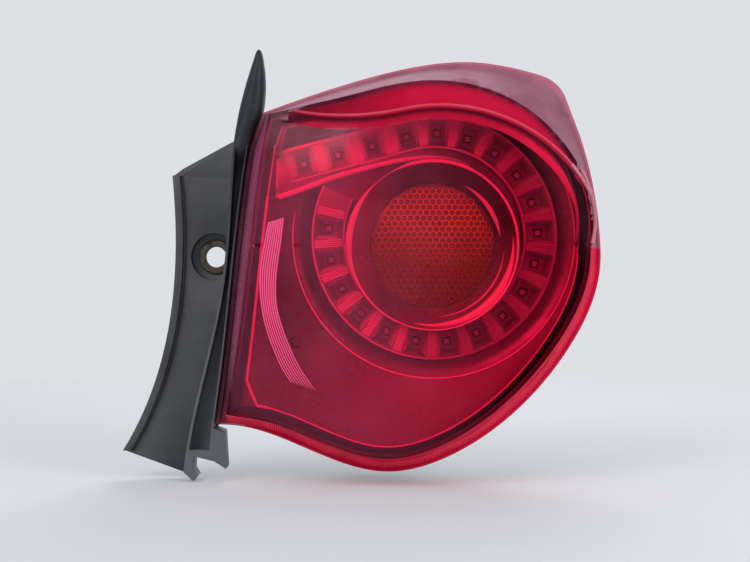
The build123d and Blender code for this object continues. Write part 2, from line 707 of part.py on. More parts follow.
def connector_shell():
    low = BACK_H - CONNECTOR_DEPTH
    rim = 2 * CONNECTOR_RIM
    shell = block(CONNECTOR_LENGTH, CONNECTOR_WIDTH, low, BACK_H, CONNECTOR_X, CONNECTOR_Z)
    shell += block(
        CONNECTOR_LENGTH + rim, CONNECTOR_WIDTH + rim, BACK_H - CONNECTOR_WALL, BACK_H,
        CONNECTOR_X, CONNECTOR_Z)
    inner_length = CONNECTOR_LENGTH - 2 * CONNECTOR_WALL
    inner_width = CONNECTOR_WIDTH - 2 * CONNECTOR_WALL
    shell -= block(
        inner_length, inner_width, low - 1, BACK_H - CONNECTOR_WALL, CONNECTOR_X, CONNECTOR_Z)
    for x, z in pin_places():
        shell -= block(PIN_SIDE, PIN_SIDE, low, BACK_H + 1, x, z)
    return shell


def pin_places():
    places = []
    for row in range(PIN_ROWS):
        for column in range(PIN_COUNT):
            x = CONNECTOR_X + (column - (PIN_COUNT - 1) / 2) * PIN_PITCH
            places.append((x, CONNECTOR_Z + (row - (PIN_ROWS - 1) / 2) * PIN_PITCH))
    return places


def connector_pins():
    foot = BACK_H - CONNECTOR_WALL
    pins = [
        block(PIN_SIDE, PIN_SIDE, foot - PIN_LENGTH, BACK_H + PIN_TAIL, x, z) for x, z in pin_places()
    ]
    return Compound(children=pins)


def locating_studs():
    studs = []
    for x, z in STUDS:
        collar = BACK_H - STUD_HEX
        end = BACK_H - STUD_LENGTH
        stud = extrude(front(collar, x, z) * RegularPolygon(STUD_HEX_RADIUS, 6), STUD_HEX)
        stud += rod(STUD_RADIUS, end, collar, x, z)
        shank_end = BACK_H + STUD_SHANK - STUD_CLEAR
        stud += block(STUD_SHANK_SIDE, STUD_SHANK_SIDE, BACK_H, shank_end, x, z)
        studs.append(stud)
    return Compound(children=studs)


def main():
    pieces = {
        "outer_lens": outer_lens(),
        "housing": housing(),
        "trim_strip": trim_strip(),
        "fixing_bush": fixing_bush(),
        "inner_bezel": inner_bezel(),
        "bezel_screws": bezel_screws(),
        "brow_flank": brow_flank(),
        "led_reflector": led_reflector(),
        "led_board": led_board(),
        "leds": leds(),
        "board_resistors": board_resistors(),
        "board_socket": board_socket(),
        "turn_lens": turn_lens(),
        "turn_ring": turn_ring(),
        "turn_reflector": turn_reflector(),
        "turn_bulb": turn_bulb(),
        "bulb_holder": bulb_holder(),
        "bulb_holder_seal": bulb_holder_seal(),
        "connector_shell": connector_shell(),
        "connector_pins": connector_pins(),
        "locating_studs": locating_studs(),
    }
    os.makedirs("parts", exist_ok=True)
    for name, piece in pieces.items():
        export_step(piece, f"parts/{name}.step")


main()
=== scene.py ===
"""Dressed model of the tail light cluster, in metres, in the frame of the CAD model."""
from math import atan2, cos, hypot, radians, sin, sqrt

import bmesh
import bpy
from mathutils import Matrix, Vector


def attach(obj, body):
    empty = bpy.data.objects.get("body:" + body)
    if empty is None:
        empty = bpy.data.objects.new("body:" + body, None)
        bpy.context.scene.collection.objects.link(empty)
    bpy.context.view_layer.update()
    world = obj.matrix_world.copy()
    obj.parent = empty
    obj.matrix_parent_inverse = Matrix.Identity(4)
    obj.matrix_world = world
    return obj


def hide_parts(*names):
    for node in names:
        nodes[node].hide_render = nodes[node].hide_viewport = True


MM = 0.001

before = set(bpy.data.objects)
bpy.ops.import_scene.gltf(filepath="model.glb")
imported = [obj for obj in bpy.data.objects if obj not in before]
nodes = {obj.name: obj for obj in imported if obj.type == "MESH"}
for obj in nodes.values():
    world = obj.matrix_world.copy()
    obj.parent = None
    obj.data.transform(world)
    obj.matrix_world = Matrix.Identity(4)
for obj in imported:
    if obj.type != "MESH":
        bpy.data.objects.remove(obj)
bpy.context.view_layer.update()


# Places in the lamp's own terms: X, Z and a height towards the rear, in millimetres, and turns in degrees

LAMP = (131.5, 6.0)
BOWL_RADIUS = 50.0
BOWL_H = 48.0

# The LED band: a ring about its own middle, and a straight tail at its start
BAND = (132.0, 11.0)
BAND_RADIUS = 62.0
BAND_EDGE = 9.2
BAND_H = 42.0
BAND_START = 105.0
BAND_SWEEP = 290.0
BAND_ARC = 310.0
BAND_STEPS = 31
TAIL_LENGTH = 73.0
TAIL_SHARES = (1.0, 0.66, 0.33)
RING_LEDS = 18
TAIL_LEDS = 3
TAIL_PITCH = 21.0
LED_TOP_H = 30.5

# The lens: a dome on a waist, a wall below it, and a brow round the lamp that ends level at the right
LENS_WALL = 3.0
WAIST_H = 52.0
FOOT_H = 21.3
WALL_REACH = 90.0
BELLY_LEFT = 20.0
BROW_RADIUS = 95.0
BROW_LEAN = 1.4
BROW_TURN = 103.0
BROW_END = 5.0
DOME_X = 126.0
DOME_TOP_H = 70.0
DOME_ACROSS_RADIUS = 280.0
DOME_UPRIGHT_RADIUS = 520.0

BEZEL_H = 38.0
BEZEL_LEFT = 34.0
BEZEL_SCREW = (50.7, -50.8)
BLADE_Z = 66.2

# Distance under which points are one, middle of the part and level of the floor, in metres
MERGE = 0.00001
PART_MIDDLE = (0.1, 0.0, 0.0)
FLOOR_Z = -0.1345

ROOT_3 = 1.732


# Materials

def new_material(name):
    """Empty material with its node tree and its output."""
    material = bpy.data.materials.new(name)
    material.use_nodes = True
    tree = material.node_tree
    tree.nodes.clear()
    output = add_node(tree, "ShaderNodeOutputMaterial", (600, 0))
    return material, tree, output


def add_node(tree, kind, spot, operation=None):
    """New node at a spot of the tree."""
    node = tree.nodes.new(kind)
    node.location = spot
    if operation is not None:
        node.operation = operation
    return node


def object_noise(tree, spot, scale, detail=2.0, roughness=0.5):
    """Noise on the piece's own coordinates."""
    coords = add_node(tree, "ShaderNodeTexCoord", (spot[0] - 200, spot[1]))
    noise = add_node(tree, "ShaderNodeTexNoise", spot)
    noise.inputs["Scale"].default_value = scale
    noise.inputs["Detail"].default_value = detail
    noise.inputs["Roughness"].default_value = roughness
    tree.links.new(coords.outputs["Object"], noise.inputs["Vector"])
    return noise.outputs["Fac"]


def object_axis(tree, spot, axis):
    """One of the piece's own coordinates."""
    coords = add_node(tree, "ShaderNodeTexCoord", spot)
    split = add_node(tree, "ShaderNodeSeparateXYZ", (spot[0] + 200, spot[1]))
    tree.links.new(coords.outputs["Object"], split.inputs["Vector"])
    return split.outputs[axis]


def flat_run(tree, spot, middle):
    """Run across the piece from a middle (X, Z), without its depth."""
    coords = add_node(tree, "ShaderNodeTexCoord", spot)
    from_middle = add_node(tree, "ShaderNodeVectorMath", (spot[0] + 200, spot[1]), "SUBTRACT")
    from_middle.inputs[1].default_value = (middle[0] * MM, 0.0, middle[1] * MM)
    tree.links.new(coords.outputs["Object"], from_middle.inputs[0])
    flat = add_node(tree, "ShaderNodeVectorMath", (spot[0] + 400, spot[1]), "MULTIPLY")
    flat.inputs[1].default_value = (1.0, 0.0, 1.0)
    tree.links.new(from_middle.outputs["Vector"], flat.inputs[0])
    return flat.outputs["Vector"]


def ramp(tree, spot, source, stops):
    """Colours from a ramp between two (position, colour) stops."""
    node = add_node(tree, "ShaderNodeValToRGB", spot)
    for element, (position, colour) in zip(node.color_ramp.elements, stops):
        element.position = position
        element.color = (*colour, 1.0)
    tree.links.new(source, node.inputs["Fac"])
    return node.outputs["Color"]


def spread(tree, spot, source, low, high, to_low=0.0, to_high=1.0):
    """Value that runs between two others while its source runs from low to high."""
    node = add_node(tree, "ShaderNodeMapRange", spot)
    node.inputs["From Min"].default_value = low
    node.inputs["From Max"].default_value = high
    node.inputs["To Min"].default_value = to_low
    node.inputs["To Max"].default_value = to_high
    tree.links.new(source, node.inputs["Value"])
    return node.outputs["Result"]


def two_values(tree, spot, operation, first, second):
    """Value worked out from two others."""
    node = add_node(tree, "ShaderNodeMath", spot, operation)
    tree.links.new(first, node.inputs[0])
    tree.links.new(second, node.inputs[1])
    return node.outputs["Value"]


def roughen(tree, spot, source, shader, strength, distance):
    """Bump on a shader, from a pattern."""
    bump = add_node(tree, "ShaderNodeBump", spot)
    bump.inputs["Strength"].default_value = strength
    bump.inputs["Distance"].default_value = distance
    tree.links.new(source, bump.inputs["Height"])
    tree.links.new(bump.outputs["Normal"], shader.inputs["Normal"])


def grey(value):
    """Grey colour."""
    return (value, value, value)


def moulded_plastic(name, colour, roughness, grain, depth, dust, gloss=0.5, grading=None):
    """Plastic with a moulded grain, uneven gloss and a little dust.

    A colour grading by height, given last, is a colour and two levels Z: the plastic has that colour below
    the first and its own above the second. It paints light and shade by height, as said at each plastic that
    has it.
    """
    material, tree, output = new_material(name)
    shader = add_node(tree, "ShaderNodeBsdfPrincipled", (300, 0))
    shader.inputs["Specular IOR Level"].default_value = gloss
    blotch = object_noise(tree, (-500, 200), 35.0, 5.0, 0.65)
    if grading is None:
        dusty = tuple(c + (0.25 - c) * dust for c in colour)
        tint = ramp(tree, (-250, 250), blotch, [(0.35, colour), (0.75, dusty)])
    else:
        # Painted light and shade by height: the low colour below the first level, the plastic's own above the
        # second
        low_colour, low, high = grading
        level = spread(tree, (-500, 500), object_axis(tree, (-900, 500), "Z"), low * MM, high * MM)
        tint = ramp(tree, (-250, 500), level, [(0.0, low_colour), (1.0, colour)])
    tree.links.new(tint, shader.inputs["Base Color"])
    sheen = ramp(tree, (-250, 0), blotch, [(0.3, grey(roughness - 0.06)), (0.7, grey(roughness + 0.1))])
    tree.links.new(sheen, shader.inputs["Roughness"])
    fine = object_noise(tree, (-500, -250), grain, 3.0, 0.6)
    roughen(tree, (0, -250), fine, shader, depth, 0.0003)
    tree.links.new(shader.outputs["BSDF"], output.inputs["Surface"])
    return material


def bright_coating(name, colour, roughness):
    """Vacuum-metallised plastic with faint ripples and a dull film in places."""
    material, tree, output = new_material(name)
    shader = add_node(tree, "ShaderNodeBsdfPrincipled", (300, 0))
    shader.inputs["Metallic"].default_value = 1.0
    film = object_noise(tree, (-500, 200), 60.0, 4.0, 0.6)
    dull = tuple(c * 0.82 for c in colour)
    tint = ramp(tree, (-250, 250), film, [(0.35, colour), (0.7, dull)])
    tree.links.new(tint, shader.inputs["Base Color"])
    grading = ramp(tree, (-250, 0), film, [(0.3, grey(roughness)), (0.75, grey(roughness + 0.12))])
    tree.links.new(grading, shader.inputs["Roughness"])
    ripple = object_noise(tree, (-500, -250), 180.0)
    roughen(tree, (0, -250), ripple, shader, 0.12, 0.0004)
    tree.links.new(shader.outputs["BSDF"], output.inputs["Surface"])
    return material


def painted_light_coating(name, dark, light, middle, sides, roughness, metal):
    """Silvering with painted light: lighter towards some sides of a middle (X, Z) and darker towards the
    others.

    A side is a direction and the two cosines from it between which the painted light goes from dark to light.
    """
    material, tree, output = new_material(name)
    shader = add_node(tree, "ShaderNodeBsdfPrincipled", (300, 0))
    shader.inputs["Metallic"].default_value = metal
    way = add_node(tree, "ShaderNodeVectorMath", (-800, 300), "NORMALIZE")
    tree.links.new(flat_run(tree, (-1400, 300), middle), way.inputs[0])
    film = object_noise(tree, (-800, 0), 60.0, 4.0, 0.6)
    amount = None
    for i, (angle, low, high) in enumerate(sides):
        row = 300 - 200 * i
        facing = add_node(tree, "ShaderNodeVectorMath", (-600, row), "DOT_PRODUCT")
        facing.inputs[1].default_value = (cos(radians(angle)), 0.0, sin(radians(angle)))
        tree.links.new(way.outputs["Vector"], facing.inputs[0])
        share = spread(tree, (-400, row), facing.outputs["Value"], low, high)
        if amount is None:
            amount = share
        else:
            amount = two_values(tree, (-200, row), "MAXIMUM", amount, share)
    uneven = add_node(tree, "ShaderNodeMath", (-150, 100), "MULTIPLY_ADD")
    uneven.inputs[1].default_value = 0.25
    tree.links.new(film, uneven.inputs[0])
    tree.links.new(amount, uneven.inputs[2])
    # Painted light and shade: the base colour goes from dark to light by side, with a random film on top
    tint = ramp(tree, (0, 250), uneven.outputs["Value"], [(0.12, grey(dark)), (1.0, grey(light))])
    tree.links.new(tint, shader.inputs["Base Color"])
    grading = ramp(tree, (0, 0), film, [(0.3, grey(roughness)), (0.75, grey(roughness + 0.12))])
    tree.links.new(grading, shader.inputs["Roughness"])
    tree.links.new(shader.outputs["BSDF"], output.inputs["Surface"])
    return material


def worn_steel(name, steel, rust, share):
    """Dull metal with rust in blotches, over more of it where the share is larger."""
    material, tree, output = new_material(name)
    shader = add_node(tree, "ShaderNodeBsdfPrincipled", (300, 0))
    blotch = object_noise(tree, (-500, 200), 420.0, 8.0, 0.7)
    low = 0.62 - share
    high = 0.8 - share
    tint = ramp(tree, (-250, 250), blotch, [(low, steel), (high, rust)])
    tree.links.new(tint, shader.inputs["Base Color"])
    metal = ramp(tree, (-250, 0), blotch, [(low, grey(0.9)), (high, grey(0.1))])
    tree.links.new(metal, shader.inputs["Metallic"])
    rough = ramp(tree, (-250, -250), blotch, [(low, grey(0.38)), (high, grey(0.8))])
    tree.links.new(rough, shader.inputs["Roughness"])
    roughen(tree, (0, -400), blotch, shader, 0.5, 0.0002)
    tree.links.new(shader.outputs["BSDF"], output.inputs["Surface"])
    return material


def clear_moulding(name, tint, film, film_share, roughness, ior=2.2, reflection_clear_from=None, window=None):
    """Clear coloured plastic: light passes tinted, and a hazy film lies on its surface, worn in blotches.

    From a given X the film thins out over the next 100 mm; the full film to its left is a painted reflection
    of the sky. A window is a round place (X, Z, radius, tint) where light passes with another tint.
    """
    material, tree, output = new_material(name)
    clear = add_node(tree, "ShaderNodeBsdfTransparent", (100, 200))
    clear.inputs["Color"].default_value = (*tint, 1.0)
    if window is not None:
        x, z, radius, window_tint = window
        length = add_node(tree, "ShaderNodeVectorMath", (-500, 600), "LENGTH")
        tree.links.new(flat_run(tree, (-1100, 600), (x, z)), length.inputs[0])
        outside = spread(tree, (-300, 600), length.outputs["Value"], (radius - 2.0) * MM, (radius + 1.0) * MM)
        colours = ramp(tree, (-100, 600), outside, [(0.0, window_tint), (1.0, tint)])
        tree.links.new(colours, clear.inputs["Color"])
    surface = add_node(tree, "ShaderNodeBsdfPrincipled", (100, 0))
    surface.inputs["Base Color"].default_value = (*film, 1.0)
    surface.inputs["Roughness"].default_value = roughness
    surface.inputs["IOR"].default_value = ior
    wear = object_noise(tree, (-500, 0), 22.0, 6.0, 0.6)
    amount = ramp(tree, (-250, 100), wear, [(0.3, grey(film_share * 0.6)), (0.75, grey(film_share * 1.5))])
    # Painted reflection: the film is full on the left and thins out to the right
    if reflection_clear_from is not None:
        across = object_axis(tree, (-900, 300), "X")
        thin = spread(tree, (-500, 300), across, reflection_clear_from * MM, (reflection_clear_from + 100.0) * MM, 1.0, 0.08)
        amount = two_values(tree, (-250, 300), "MULTIPLY", thin, amount)
    edge = add_node(tree, "ShaderNodeLayerWeight", (-450, -200))
    edge.inputs["Blend"].default_value = 0.5
    steep = add_node(tree, "ShaderNodeMath", (-250, -200), "POWER")
    steep.inputs[1].default_value = 4.0
    tree.links.new(edge.outputs["Facing"], steep.inputs[0])
    total = add_node(tree, "ShaderNodeMath", (100, -250), "MULTIPLY_ADD")
    total.inputs[1].default_value = 0.6
    total.use_clamp = True
    tree.links.new(steep.outputs["Value"], total.inputs[0])
    tree.links.new(amount, total.inputs[2])
    mix = add_node(tree, "ShaderNodeMixShader", (350, 100))
    tree.links.new(total.outputs["Value"], mix.inputs["Fac"])
    tree.links.new(clear.outputs["BSDF"], mix.inputs[1])
    tree.links.new(surface.outputs["BSDF"], mix.inputs[2])
    tree.links.new(mix.outputs["Shader"], output.inputs["Surface"])
    return material


# Clear mouldings: tint, film, its share, its roughness and its index of refraction
# The lens's film is full left of X 75 mm and thins out to the right: a painted reflection of the sky on its
# left side
RED_LENS = clear_moulding(
    "lens_red", (0.985, 0.28, 0.49), (1.0, 0.24, 0.50), 0.05, 0.14, reflection_clear_from=75.0,
    window=(131.0, 5.5, 37.0, (0.965, 0.50, 0.44)))
# Painted reflection: a thick pale film stands in for the sky's reflection on the grazing wall below the brow
PALE_WALL = clear_moulding("lens_pale_wall_painted_reflection", (0.93, 0.50, 0.60), (0.30, 0.115, 0.165), 0.75, 0.5, 1.12)
BROW = clear_moulding("lens_brow", (0.985, 0.28, 0.49), (1.0, 0.24, 0.50), 0.012, 0.14, 1.5)
# Painted highlights: pale films on the bead along the brow's crease and on the paler one at its right end
CREASE = clear_moulding("lens_crease_painted_highlight", (0.965, 0.31, 0.46), (0.74, 0.085, 0.16), 0.5, 0.3, 1.3)
PALE_CREASE = clear_moulding("lens_pale_crease_painted_highlight", (0.965, 0.31, 0.46), (0.70, 0.30, 0.37), 0.5, 0.25, 1.4)
# Painted highlight: a pale film on the lip stands in for the thin highlight along the lens's edge
LIP = clear_moulding("lens_lip_painted_highlight", (0.95, 0.40, 0.50), (0.46, 0.15, 0.225), 0.65, 0.3, 1.3)
BELLY = clear_moulding("lens_belly", (0.95, 0.25, 0.36), (0.62, 0.008, 0.05), 0.8, 0.35, 1.03)
AMBER = clear_moulding("turn_amber", (0.9, 0.5, 0.2), (0.30, 0.12, 0.04), 0.6, 0.2)
GLASS = clear_moulding("bulb_glass", (0.97, 0.72, 0.35), (0.8, 0.6, 0.3), 0.12, 0.08)

# Plastics: colour, roughness, scale and depth of the grain, dust, gloss and grading by height, a colour below
# a level Z that paints light and shade
# Opaque orange ribs, lighter than the clear amber cells: partly a painted highlight, which fades to a darker
# brown towards the bottom
AMBER_RIB = moulded_plastic(
    "amber_rib_painted_highlight", (0.62, 0.30, 0.08), 0.3, 900.0, 0.03, 0.0, 0.3, ((0.20, 0.085, 0.045), -6.0, 20.0))
BLACK_HOUSING = moulded_plastic("housing_black", (0.022, 0.024, 0.028), 0.42, 2600.0, 0.35, 0.12)
# Painted light: the trim turns lighter towards its bottom
TRIM = moulded_plastic(
    "trim_dark", (0.014, 0.017, 0.024), 0.42, 1800.0, 0.12, 0.06, 0.2, ((0.092, 0.098, 0.112), -60.0, 75.0))
HOLDER = moulded_plastic("holder_grey", (0.10, 0.10, 0.11), 0.5, 2200.0, 0.25, 0.1)
CONNECTOR = moulded_plastic("connector_black", (0.022, 0.022, 0.025), 0.45, 2400.0, 0.2, 0.08)
STUD = moulded_plastic("stud_white", (0.62, 0.61, 0.58), 0.45, 1500.0, 0.15, 0.1)
SOCKET = moulded_plastic("socket_white", (0.7, 0.69, 0.65), 0.45, 1500.0, 0.1, 0.1)
BOARD = moulded_plastic("board_white", (0.7, 0.7, 0.68), 0.35, 1200.0, 0.05, 0.05)
RESISTOR = moulded_plastic("resistor_black", (0.015, 0.015, 0.017), 0.4, 1500.0, 0.1, 0.05)
SEAL = moulded_plastic("seal_rubber", (0.014, 0.014, 0.015), 0.7, 1200.0, 0.3, 0.1)
LED_BODY = moulded_plastic("led_body", (0.10, 0.07, 0.08), 0.2, 800.0, 0.03, 0.02)
# Pure white that paints the highlights of the bright lines on the bezel, the bowl's glints, the sill and the
# bundle of ribs; the LED windows use it too
GLINT = moulded_plastic("glint_white", (0.97, 0.97, 0.97), 0.12, 800.0, 0.02, 0.0)
RED_FLUTE = moulded_plastic("flute_red", (0.95, 0.022, 0.085), 0.5, 900.0, 0.03, 0.03, 0.05)
# Painted shadow: the pale ribs turn dark towards the bottom, where the lens's lower part shades them
PALE_FLUTE = moulded_plastic(
    "flute_pale", (0.24, 0.10, 0.15), 0.4, 900.0, 0.03, 0.03, 0.1, ((0.075, 0.020, 0.040), -80.0, -50.0))

# Silvering with painted light: dark and light level, middle, painted bright sides, roughness and share of
# metal
BRIGHT = bright_coating("reflector_bright", (0.86, 0.85, 0.86), 0.12)
# These paint light and shade by side: the bezel is lighter to the lower right, the band's cells upwards, the
# bowl to the lower right and the left, the brow's flank and liner upwards and to the right, and the band's
# ribs and frame to the left
BEZEL = painted_light_coating("bezel_silver", 0.085, 0.30, (120.0, -20.0), [(-50, -0.5, 1.0)], 0.24, 0.3)
CELLS = painted_light_coating("band_silver_painted_light", 0.34, 0.80, (95.0, 54.5), [(105, 0.0, 0.25)], 0.25, 0.2)
BOWL = painted_light_coating("bowl_silver_painted_light", 0.07, 0.30, LAMP, [(-60, 0.2, 1.0), (176, 0.5, 1.0)], 0.2, 0.4)
FLANK = painted_light_coating("flank_silver_painted_light", 0.09, 0.42, LAMP, [(72, 0.3, 1.0)], 0.25, 0.2)
LINER = painted_light_coating("liner_silver_painted_light", 0.10, 0.50, LAMP, [(50, -0.1, 0.8)], 0.25, 0.2)
BAND_RIB = painted_light_coating("rib_silver_painted_light", 0.34, 0.97, LAMP, [(165, -0.6, 0.3)], 0.15, 0.0)

# Metals: colour, colour of the rust and its share
SCREW = worn_steel("screw_steel", (0.55, 0.55, 0.56), (0.3, 0.24, 0.18), 0.0)
RUSTY = worn_steel("bush_steel", (0.085, 0.078, 0.072), (0.050, 0.030, 0.020), 0.2)
BRASS = worn_steel("pin_brass", (0.72, 0.58, 0.28), (0.4, 0.3, 0.14), 0.0)

# Finish and rounding of the edges of each CAD node that stays as it is
FINISHES = {
    "housing": (BLACK_HOUSING, 0.5),
    "fixing_bush": (RUSTY, 0.4),
    "inner_bezel": (BEZEL, 0.5),
    "bezel_screws": (SCREW, 0.2),
    "brow_flank": (FLANK, 0.3),
    "led_reflector": (CELLS, 0.35),
    "led_board": (BOARD, 0.0),
    "leds": (LED_BODY, 0.3),
    "board_resistors": (RESISTOR, 0.1),
    "board_socket": (SOCKET, 0.2),
    "turn_ring": (BOWL, 0.4),
    "turn_reflector": (BRIGHT, 0.3),
    "turn_bulb": (GLASS, 0.5),
    "bulb_holder": (HOLDER, 0.5),
    "bulb_holder_seal": (SEAL, 0.3),
    "connector_shell": (CONNECTOR, 0.4),
    "connector_pins": (BRASS, 0.15),
    "locating_studs": (STUD, 0.4),
}
LENS_FINISHES = (RED_LENS, PALE_WALL, LIP, BELLY, BROW)


# Places and distances

def place(x, z, height):
    """Point in metres."""
    return (x * MM, -height * MM, z * MM)


def around(middle, angle, radius):
    """Place (X, Z) on a circle."""
    return (middle[0] + radius * cos(radians(angle)), middle[1] + radius * sin(radians(angle)))


def on_tail(radius, run):
    """Place (X, Z) on the band's tail, at a radius from the ring's middle and a run away from the ring."""
    start = around(BAND, BAND_START, radius)
    along = around((0.0, 0.0), BAND_START + 90, 1.0)
    return (start[0] + along[0] * run, start[1] + along[1] * run)


def band_line(offset, height):
    """Points along the LED band at an offset from its middle line, from the tail's end round the ring."""
    radius = BAND_RADIUS + offset
    points = [place(*on_tail(radius, TAIL_LENGTH * share), height) for share in TAIL_SHARES]
    for i in range(BAND_STEPS + 1):
        points.append(place(*around(BAND, BAND_START - BAND_ARC * i / BAND_STEPS, radius), height))
    return points


def band_places(shift):
    """Places (X, Z, turn) along the band, one pitch apart, moved on by a share of a pitch."""
    pitch = BAND_SWEEP / (RING_LEDS - 1)
    places = []
    for i in range(RING_LEDS):
        angle = BAND_START - (i + shift) * pitch
        places.append((*around(BAND, angle, BAND_RADIUS), angle))
    for i in range(TAIL_LEDS):
        places.append((*on_tail(BAND_RADIUS, (i + 1 - shift) * TAIL_PITCH), BAND_START))
    return places


def band_offset(x, z):
    """Distance of a place from the middle line of the LED band."""
    run_x = x - BAND[0]
    run_z = z - BAND[1]
    turn = radians(BAND_START)
    along = run_x * -sin(turn) + run_z * cos(turn)
    across = run_x * cos(turn) + run_z * sin(turn)
    if along > 0.0 and across > 0.0:
        return across - BAND_RADIUS
    return hypot(run_x, run_z) - BAND_RADIUS


def brow_distance(x, z):
    """Distance from the lamp axis, measured across the brow's straight run left of its arc."""
    run_x = x - LAMP[0]
    run_z = z - LAMP[1]
    turn = radians(BROW_TURN)
    if atan2(run_z, run_x) > turn:
        return run_x * cos(turn) + run_z * sin(turn)
    return hypot(run_x, run_z)


def brow_turn(x, z):
    """Direction square to the brow at a place, in radians."""
    return min(atan2(z - LAMP[1], x - LAMP[0]), radians(BROW_TURN))


def brow_radius(height, inset):
    """Distance of the brow's slope from the lamp axis at a height, inset from its outer face."""
    return BROW_RADIUS - (height - WAIST_H) * BROW_LEAN - inset * hypot(1.0, BROW_LEAN)


def dome_height(x, z):
    """Height of the lens's outer face away from the brow."""
    reach = DOME_UPRIGHT_RADIUS - DOME_ACROSS_RADIUS + sqrt(DOME_ACROSS_RADIUS ** 2 - (x - DOME_X) ** 2)
    return sqrt(reach ** 2 - z ** 2) - DOME_UPRIGHT_RADIUS + DOME_TOP_H


# Modelling helpers

def deselect_all():
    """Leaves nothing selected."""
    bpy.ops.object.select_all(action="DESELECT")


def pick(obj):
    """Selects one object alone."""
    deselect_all()
    obj.select_set(True)
    bpy.context.view_layer.objects.active = obj


def edit(obj, mode="FACE"):
    """Opens an object in edit mode."""
    pick(obj)
    bpy.ops.object.mode_set(mode="EDIT")
    bpy.ops.mesh.select_mode(type=mode)


def leave_edit():
    """Goes back to object mode."""
    bpy.ops.object.mode_set(mode="OBJECT")


def set_in_mesh():
    """Puts the place, turn and size of what is selected into its mesh."""
    bpy.ops.object.transform_apply(location=True, rotation=True, scale=True)


def open_shape(obj):
    """Mesh of an object, ready to be changed."""
    shape = bmesh.new()
    shape.from_mesh(obj.data)
    return shape


def close_shape(shape, mesh):
    """Writes a changed shape to a mesh."""
    shape.to_mesh(mesh)
    shape.free()


def new_solid(shape, name):
    """New object from a closed shape, with its faces turned outwards."""
    bmesh.ops.recalc_face_normals(shape, faces=shape.faces)
    mesh = bpy.data.meshes.new(name)
    close_shape(shape, mesh)
    obj = bpy.data.objects.new(name, mesh)
    bpy.context.collection.objects.link(obj)
    return obj


def keep(obj, name, material):
    """Names a finished piece, gives it its finish and sets it on the lamp."""
    obj.name = name
    obj.data.name = name
    obj.data.materials.clear()
    obj.data.materials.append(material)
    pick(obj)
    set_in_mesh()
    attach(obj, "root")


def joined(objs):
    """Several objects as one."""
    deselect_all()
    for obj in objs:
        obj.select_set(True)
    bpy.context.view_layer.objects.active = objs[0]
    bpy.ops.object.join()
    return bpy.context.object


def copies(master, places, height):
    """Copies of a piece modelled at the origin facing -Y, turned and set at (X, Z, turn) places."""
    group = []
    for x, z, turn in places:
        pick(master)
        bpy.ops.object.duplicate()
        copy = bpy.context.object
        copy.rotation_euler = (0.0, -radians(turn), 0.0)
        copy.location = place(x, z, height)
        set_in_mesh()
        group.append(copy)
    bpy.data.objects.remove(master)
    return joined(group)


def cad_copy(node, name, material):
    """Copy of a CAD node with its triangles joined, as a new piece."""
    pick(nodes[node])
    bpy.ops.object.duplicate()
    copy = bpy.context.object
    copy.modifiers.clear()
    for key in list(copy.keys()):
        del copy[key]
    keep(copy, name, material)
    edit(copy, "EDGE")
    bpy.ops.mesh.select_all(action="SELECT")
    bpy.ops.mesh.remove_doubles(threshold=MERGE)
    bpy.ops.mesh.select_all(action="DESELECT")
    leave_edit()
    return copy


def cut_level(obj, z, drop_above=False):
    """Cuts a mesh along a level plane, and keeps both sides or closes the lower one."""
    shape = open_shape(obj)
    everything = shape.verts[:] + shape.edges[:] + shape.faces[:]
    bmesh.ops.bisect_plane(
        shape, geom=everything, plane_co=place(0.0, z, 0.0), plane_no=(0.0, 0.0, 1.0), clear_outer=drop_above)
    if drop_above:
        bmesh.ops.holes_fill(shape, edges=shape.edges)
    close_shape(shape, obj.data)


def soften(obj, turn, width, segments):
    """Rounds the edges of a mesh that turn more than an angle."""
    edit(obj, "EDGE")
    bpy.ops.mesh.select_all(action="DESELECT")
    bpy.ops.mesh.edges_select_sharp(sharpness=radians(turn))
    bpy.ops.mesh.bevel(offset=width * MM, segments=segments, clamp_overlap=True)
    leave_edit()
    bpy.ops.object.shade_smooth_by_angle(angle=radians(40))


def smooth_curve(points, steps):
    """Curve that runs smoothly through points."""
    curve = bpy.data.curves.new("line", "CURVE")
    curve.dimensions = "3D"
    curve.resolution_u = steps
    spline = curve.splines.new("BEZIER")
    spline.bezier_points.add(len(points) - 1)
    for knot, point in zip(spline.bezier_points, points):
        knot.co = point
        knot.handle_left_type = "AUTO"
        knot.handle_right_type = "AUTO"
    return curve


def bead(points, width, swell=None):
    """Round bead along a smooth line; swell gives its relative thickness at each point."""
    curve = smooth_curve(points, 5)
    curve.bevel_depth = width / 2 * MM
    curve.bevel_resolution = 2
    curve.use_fill_caps = True
    for knot, share in zip(curve.splines[0].bezier_points, swell or [1.0] * len(points)):
        knot.radius = share
    obj = bpy.data.objects.new("bead", curve)
    bpy.context.collection.objects.link(obj)
    pick(obj)
    bpy.ops.object.convert(target="MESH")
    bpy.ops.object.shade_smooth()
    return bpy.context.object


def sharp_lines(node, turn, test, width):
    """Beads along a CAD node's edges that turn more than an angle and pass a test of (X, Z, height)."""
    copy = cad_copy(node, "line", GLINT)
    edit(copy, "EDGE")
    bpy.ops.mesh.edges_select_sharp(sharpness=radians(turn))
    leave_edit()
    shape = open_shape(copy)
    others = []
    for edge in shape.edges:
        middle = (edge.verts[0].co + edge.verts[1].co) / 2 / MM
        if not (edge.select and test(middle.x, middle.z, -middle.y)):
            others.append(edge)
    bmesh.ops.delete(shape, geom=others, context="EDGES")
    close_shape(shape, copy.data)
    pick(copy)
    bpy.ops.object.convert(target="CURVE")
    copy.data.bevel_depth = width / 2 * MM
    copy.data.bevel_resolution = 1
    bpy.ops.object.convert(target="MESH")
    bpy.ops.object.shade_smooth()
    return bpy.context.object


